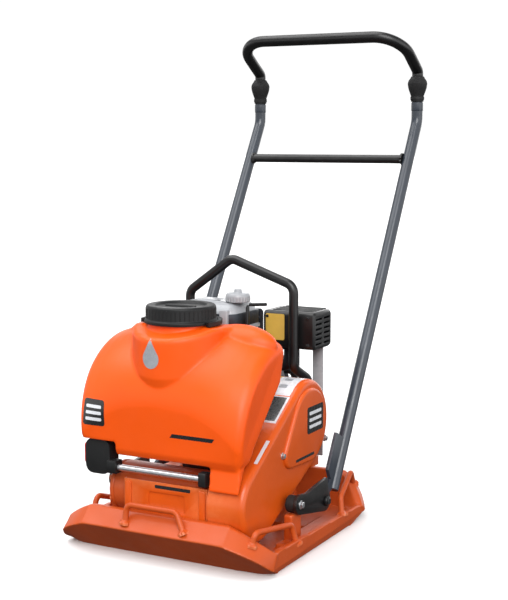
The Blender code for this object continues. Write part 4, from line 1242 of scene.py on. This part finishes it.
def handle():
    foot, knee, top = (0.117, 0.087), (LEG_Y, 0.895), 0.943
    for name, side in (("right", 1), ("left", -1)):
        x = side * TUBE_X
        bm = softened("handle_tube_" + name, 0.0008)
        upper = [v for v in bm.verts if v.co.z > FOOT_TOP]
        bmesh.ops.delete(bm, geom=upper, context="VERTS")
        bmesh.ops.holes_fill(bm, edges=[e for e in bm.edges if e.is_boundary], sides=0)
        path = bent([(x, *foot), (x, *knee), (x, LEG_Y, top)], 0.050, 10)
        rod(path, TUBE_RADIUS, 40, 0.0012, bm)
        # A stop collar under the coupling
        disc(0.0146, top - 0.022, top - 0.002, 0.001, (x, LEG_Y, 0), 40, bm)
        piece("handle_leg_" + name, bm, "slate_paint", "handle", ["handle_tube_" + name])
        isolator("vibration_isolator_" + name, x, LEG_Y)
    crossbar()
    grip_loop()


def isolator(node, x, y):
    """Rubber coupling: a bulb with a waist and a clamped neck at each end."""
    low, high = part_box(node)
    tall = high.z - low.z
    wide = (high.x - low.x) / 2
    shape = [(0, 0.0), (0.0150, 0.0), (0.0155, 0.08), (0.0150, 0.16), (0.0165, 0.26), (0.0200, 0.42),
             (0.0225, 0.56), (wide, 0.68), (wide, 0.74), (0.0215, 0.84), (0.0180, 0.92),
             (0.0155, 1.0), (0, 1.0)]
    smooth = [shape[0]] + [tuple(p) for p in smooth_curve(shape[1:-1], 4, False)] + [shape[-1]]
    bm = lathe([(r, low.z + tall * h) for r, h in smooth], "Z", (x, y, 0), 48)
    turned([(0.0140, low.z + 0.004), (0.0168, low.z + 0.004), (0.0168, low.z + 0.012),
            (0.0140, low.z + 0.012)], 0.0008, "Z", (x, y, 0), 48, bm)
    piece(node + "_bulb", bm, "rubber", "handle", [node])


def crossbar():
    low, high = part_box("handle_crossbar")
    y, z = (low.y + high.y) / 2, (low.z + high.z) / 2
    radius = (high.z - low.z) / 2
    bm = rod([(low.x, y, z), (high.x, y, z)], radius, 32, 0.0002)
    for x, direction in ((low.x, 1), (high.x, -1)):
        weld(bm, (x + direction * 0.0012, y, z), (direction, 0, 0), radius * 1.35, 0.005, 60 + direction)
    piece("handle_crossbar_round", bm, "satin_black", "handle", ["handle_crossbar"])


def grip_loop():
    """The operator's bar: two legs that rise and lean forward, joined by the top rail."""
    low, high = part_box("grip_loop")
    front, top = low.y + TUBE_RADIUS, high.z - TUBE_RADIUS
    right = [(TUBE_X, LEG_Y, low.z), (TUBE_X, LEG_Y, 1.017), (TUBE_X, front, top)]
    left = [(-x, y, z) for x, y, z in right]
    legs = bent(right, 0.012, 6)[:-1]
    corner = bent([right[1], right[2], left[2], left[1]], 0.072, 14)[1:-1]
    path = legs + corner + [Vector((-p.x, p.y, p.z)) for p in legs[::-1]]
    piece("grip_loop_bar", rod(path, TUBE_RADIUS, 32), "satin_black", "handle", ["grip_loop"])


# Floor, light and camera

def floor():
    one, other = Vector((1, 0, 0)), Vector((0, 1, 0))
    rings = [circle(Vector((0, 0, z)), one, other, 60.0, 64) for z in (-0.05, 0.0)]
    made = new_object("studio_floor", loft(rings))
    made.data.materials.append(MATERIALS["floor"])
    made.visible_diffuse = False
    made.visible_glossy = False


def sun(name, towards, strength, spread, colour=(1.0, 1.0, 1.0)):
    """A distant soft light that comes from a direction; spread is its size in degrees."""
    data = bpy.data.lights.new(name, "SUN")
    data.energy = strength
    data.angle = math.radians(spread)
    data.color = colour
    made = bpy.data.objects.new(name, data)
    made.location = Vector(towards) * 5.0
    made.rotation_euler = (-Vector(towards)).to_track_quat("-Z", "Y").to_euler()
    bpy.context.scene.collection.objects.link(made)


def sky():
    """Dark below, a bright band at the horizon and a dim dome above."""
    world = bpy.data.worlds.new("studio")
    world.use_nodes = True
    tree = world.node_tree
    place_node = tree.nodes.new("ShaderNodeTexCoord")
    split = tree.nodes.new("ShaderNodeSeparateXYZ")
    tree.links.new(place_node.outputs["Generated"], split.inputs["Vector"])
    height = remap(tree, split.outputs["Z"], (-1.0, 1.0))
    stops = [(0.43, (0.10,) * 3), (0.475, (1.0,) * 3), (0.60, (1.0,) * 3), (0.70, (0.26,) * 3)]
    background = tree.nodes["Background"]
    tree.links.new(ramp(tree, height, stops), background.inputs["Color"])
    background.inputs["Strength"].default_value = 1.04
    bpy.context.scene.world = world


def lighting():
    sky()
    sun("overhead", (-0.40, -0.15, 0.90), 2.7, 60)
    sun("key", (0.42, -0.70, 0.57), 2.4, 40)
    sun("right_fill", (0.95, -0.10, 0.25), 0.8, 60)
    sun("rear_fill", (-0.20, 0.90, 0.35), 1.0, 60)


def camera():
    data = bpy.data.cameras.new("camera")
    data.sensor_width = 36.0
    data.lens = 76.28
    data.clip_end = 200.0
    made = bpy.data.objects.new("camera", data)
    made.location = (1.35175, -2.36471, 0.85568)
    dip, turn = 7.271, 28.196
    made.rotation_euler = (math.radians(90.0 - dip), 0.0, math.radians(turn))
    bpy.context.scene.collection.objects.link(made)
    bpy.context.scene.camera = made
    bpy.context.scene.view_settings.view_transform = "Standard"


def build():
    base_plate()
    grab_rods()
    drive()
    belt_guard()
    guard_labels()
    bed_and_mounts()
    lifting_bar()
    engine()
    exhaust()
    recoil_cover()
    fuel_tank()
    fuel_cap()
    air_cleaner()
    silencer()
    tank_films(water_tank())
    tank_cap()
    cap_strap()
    sprinkler()
    front_panel()
    handle_joint_pieces()
    handle()
    floor()
    lighting()
    camera()


build()
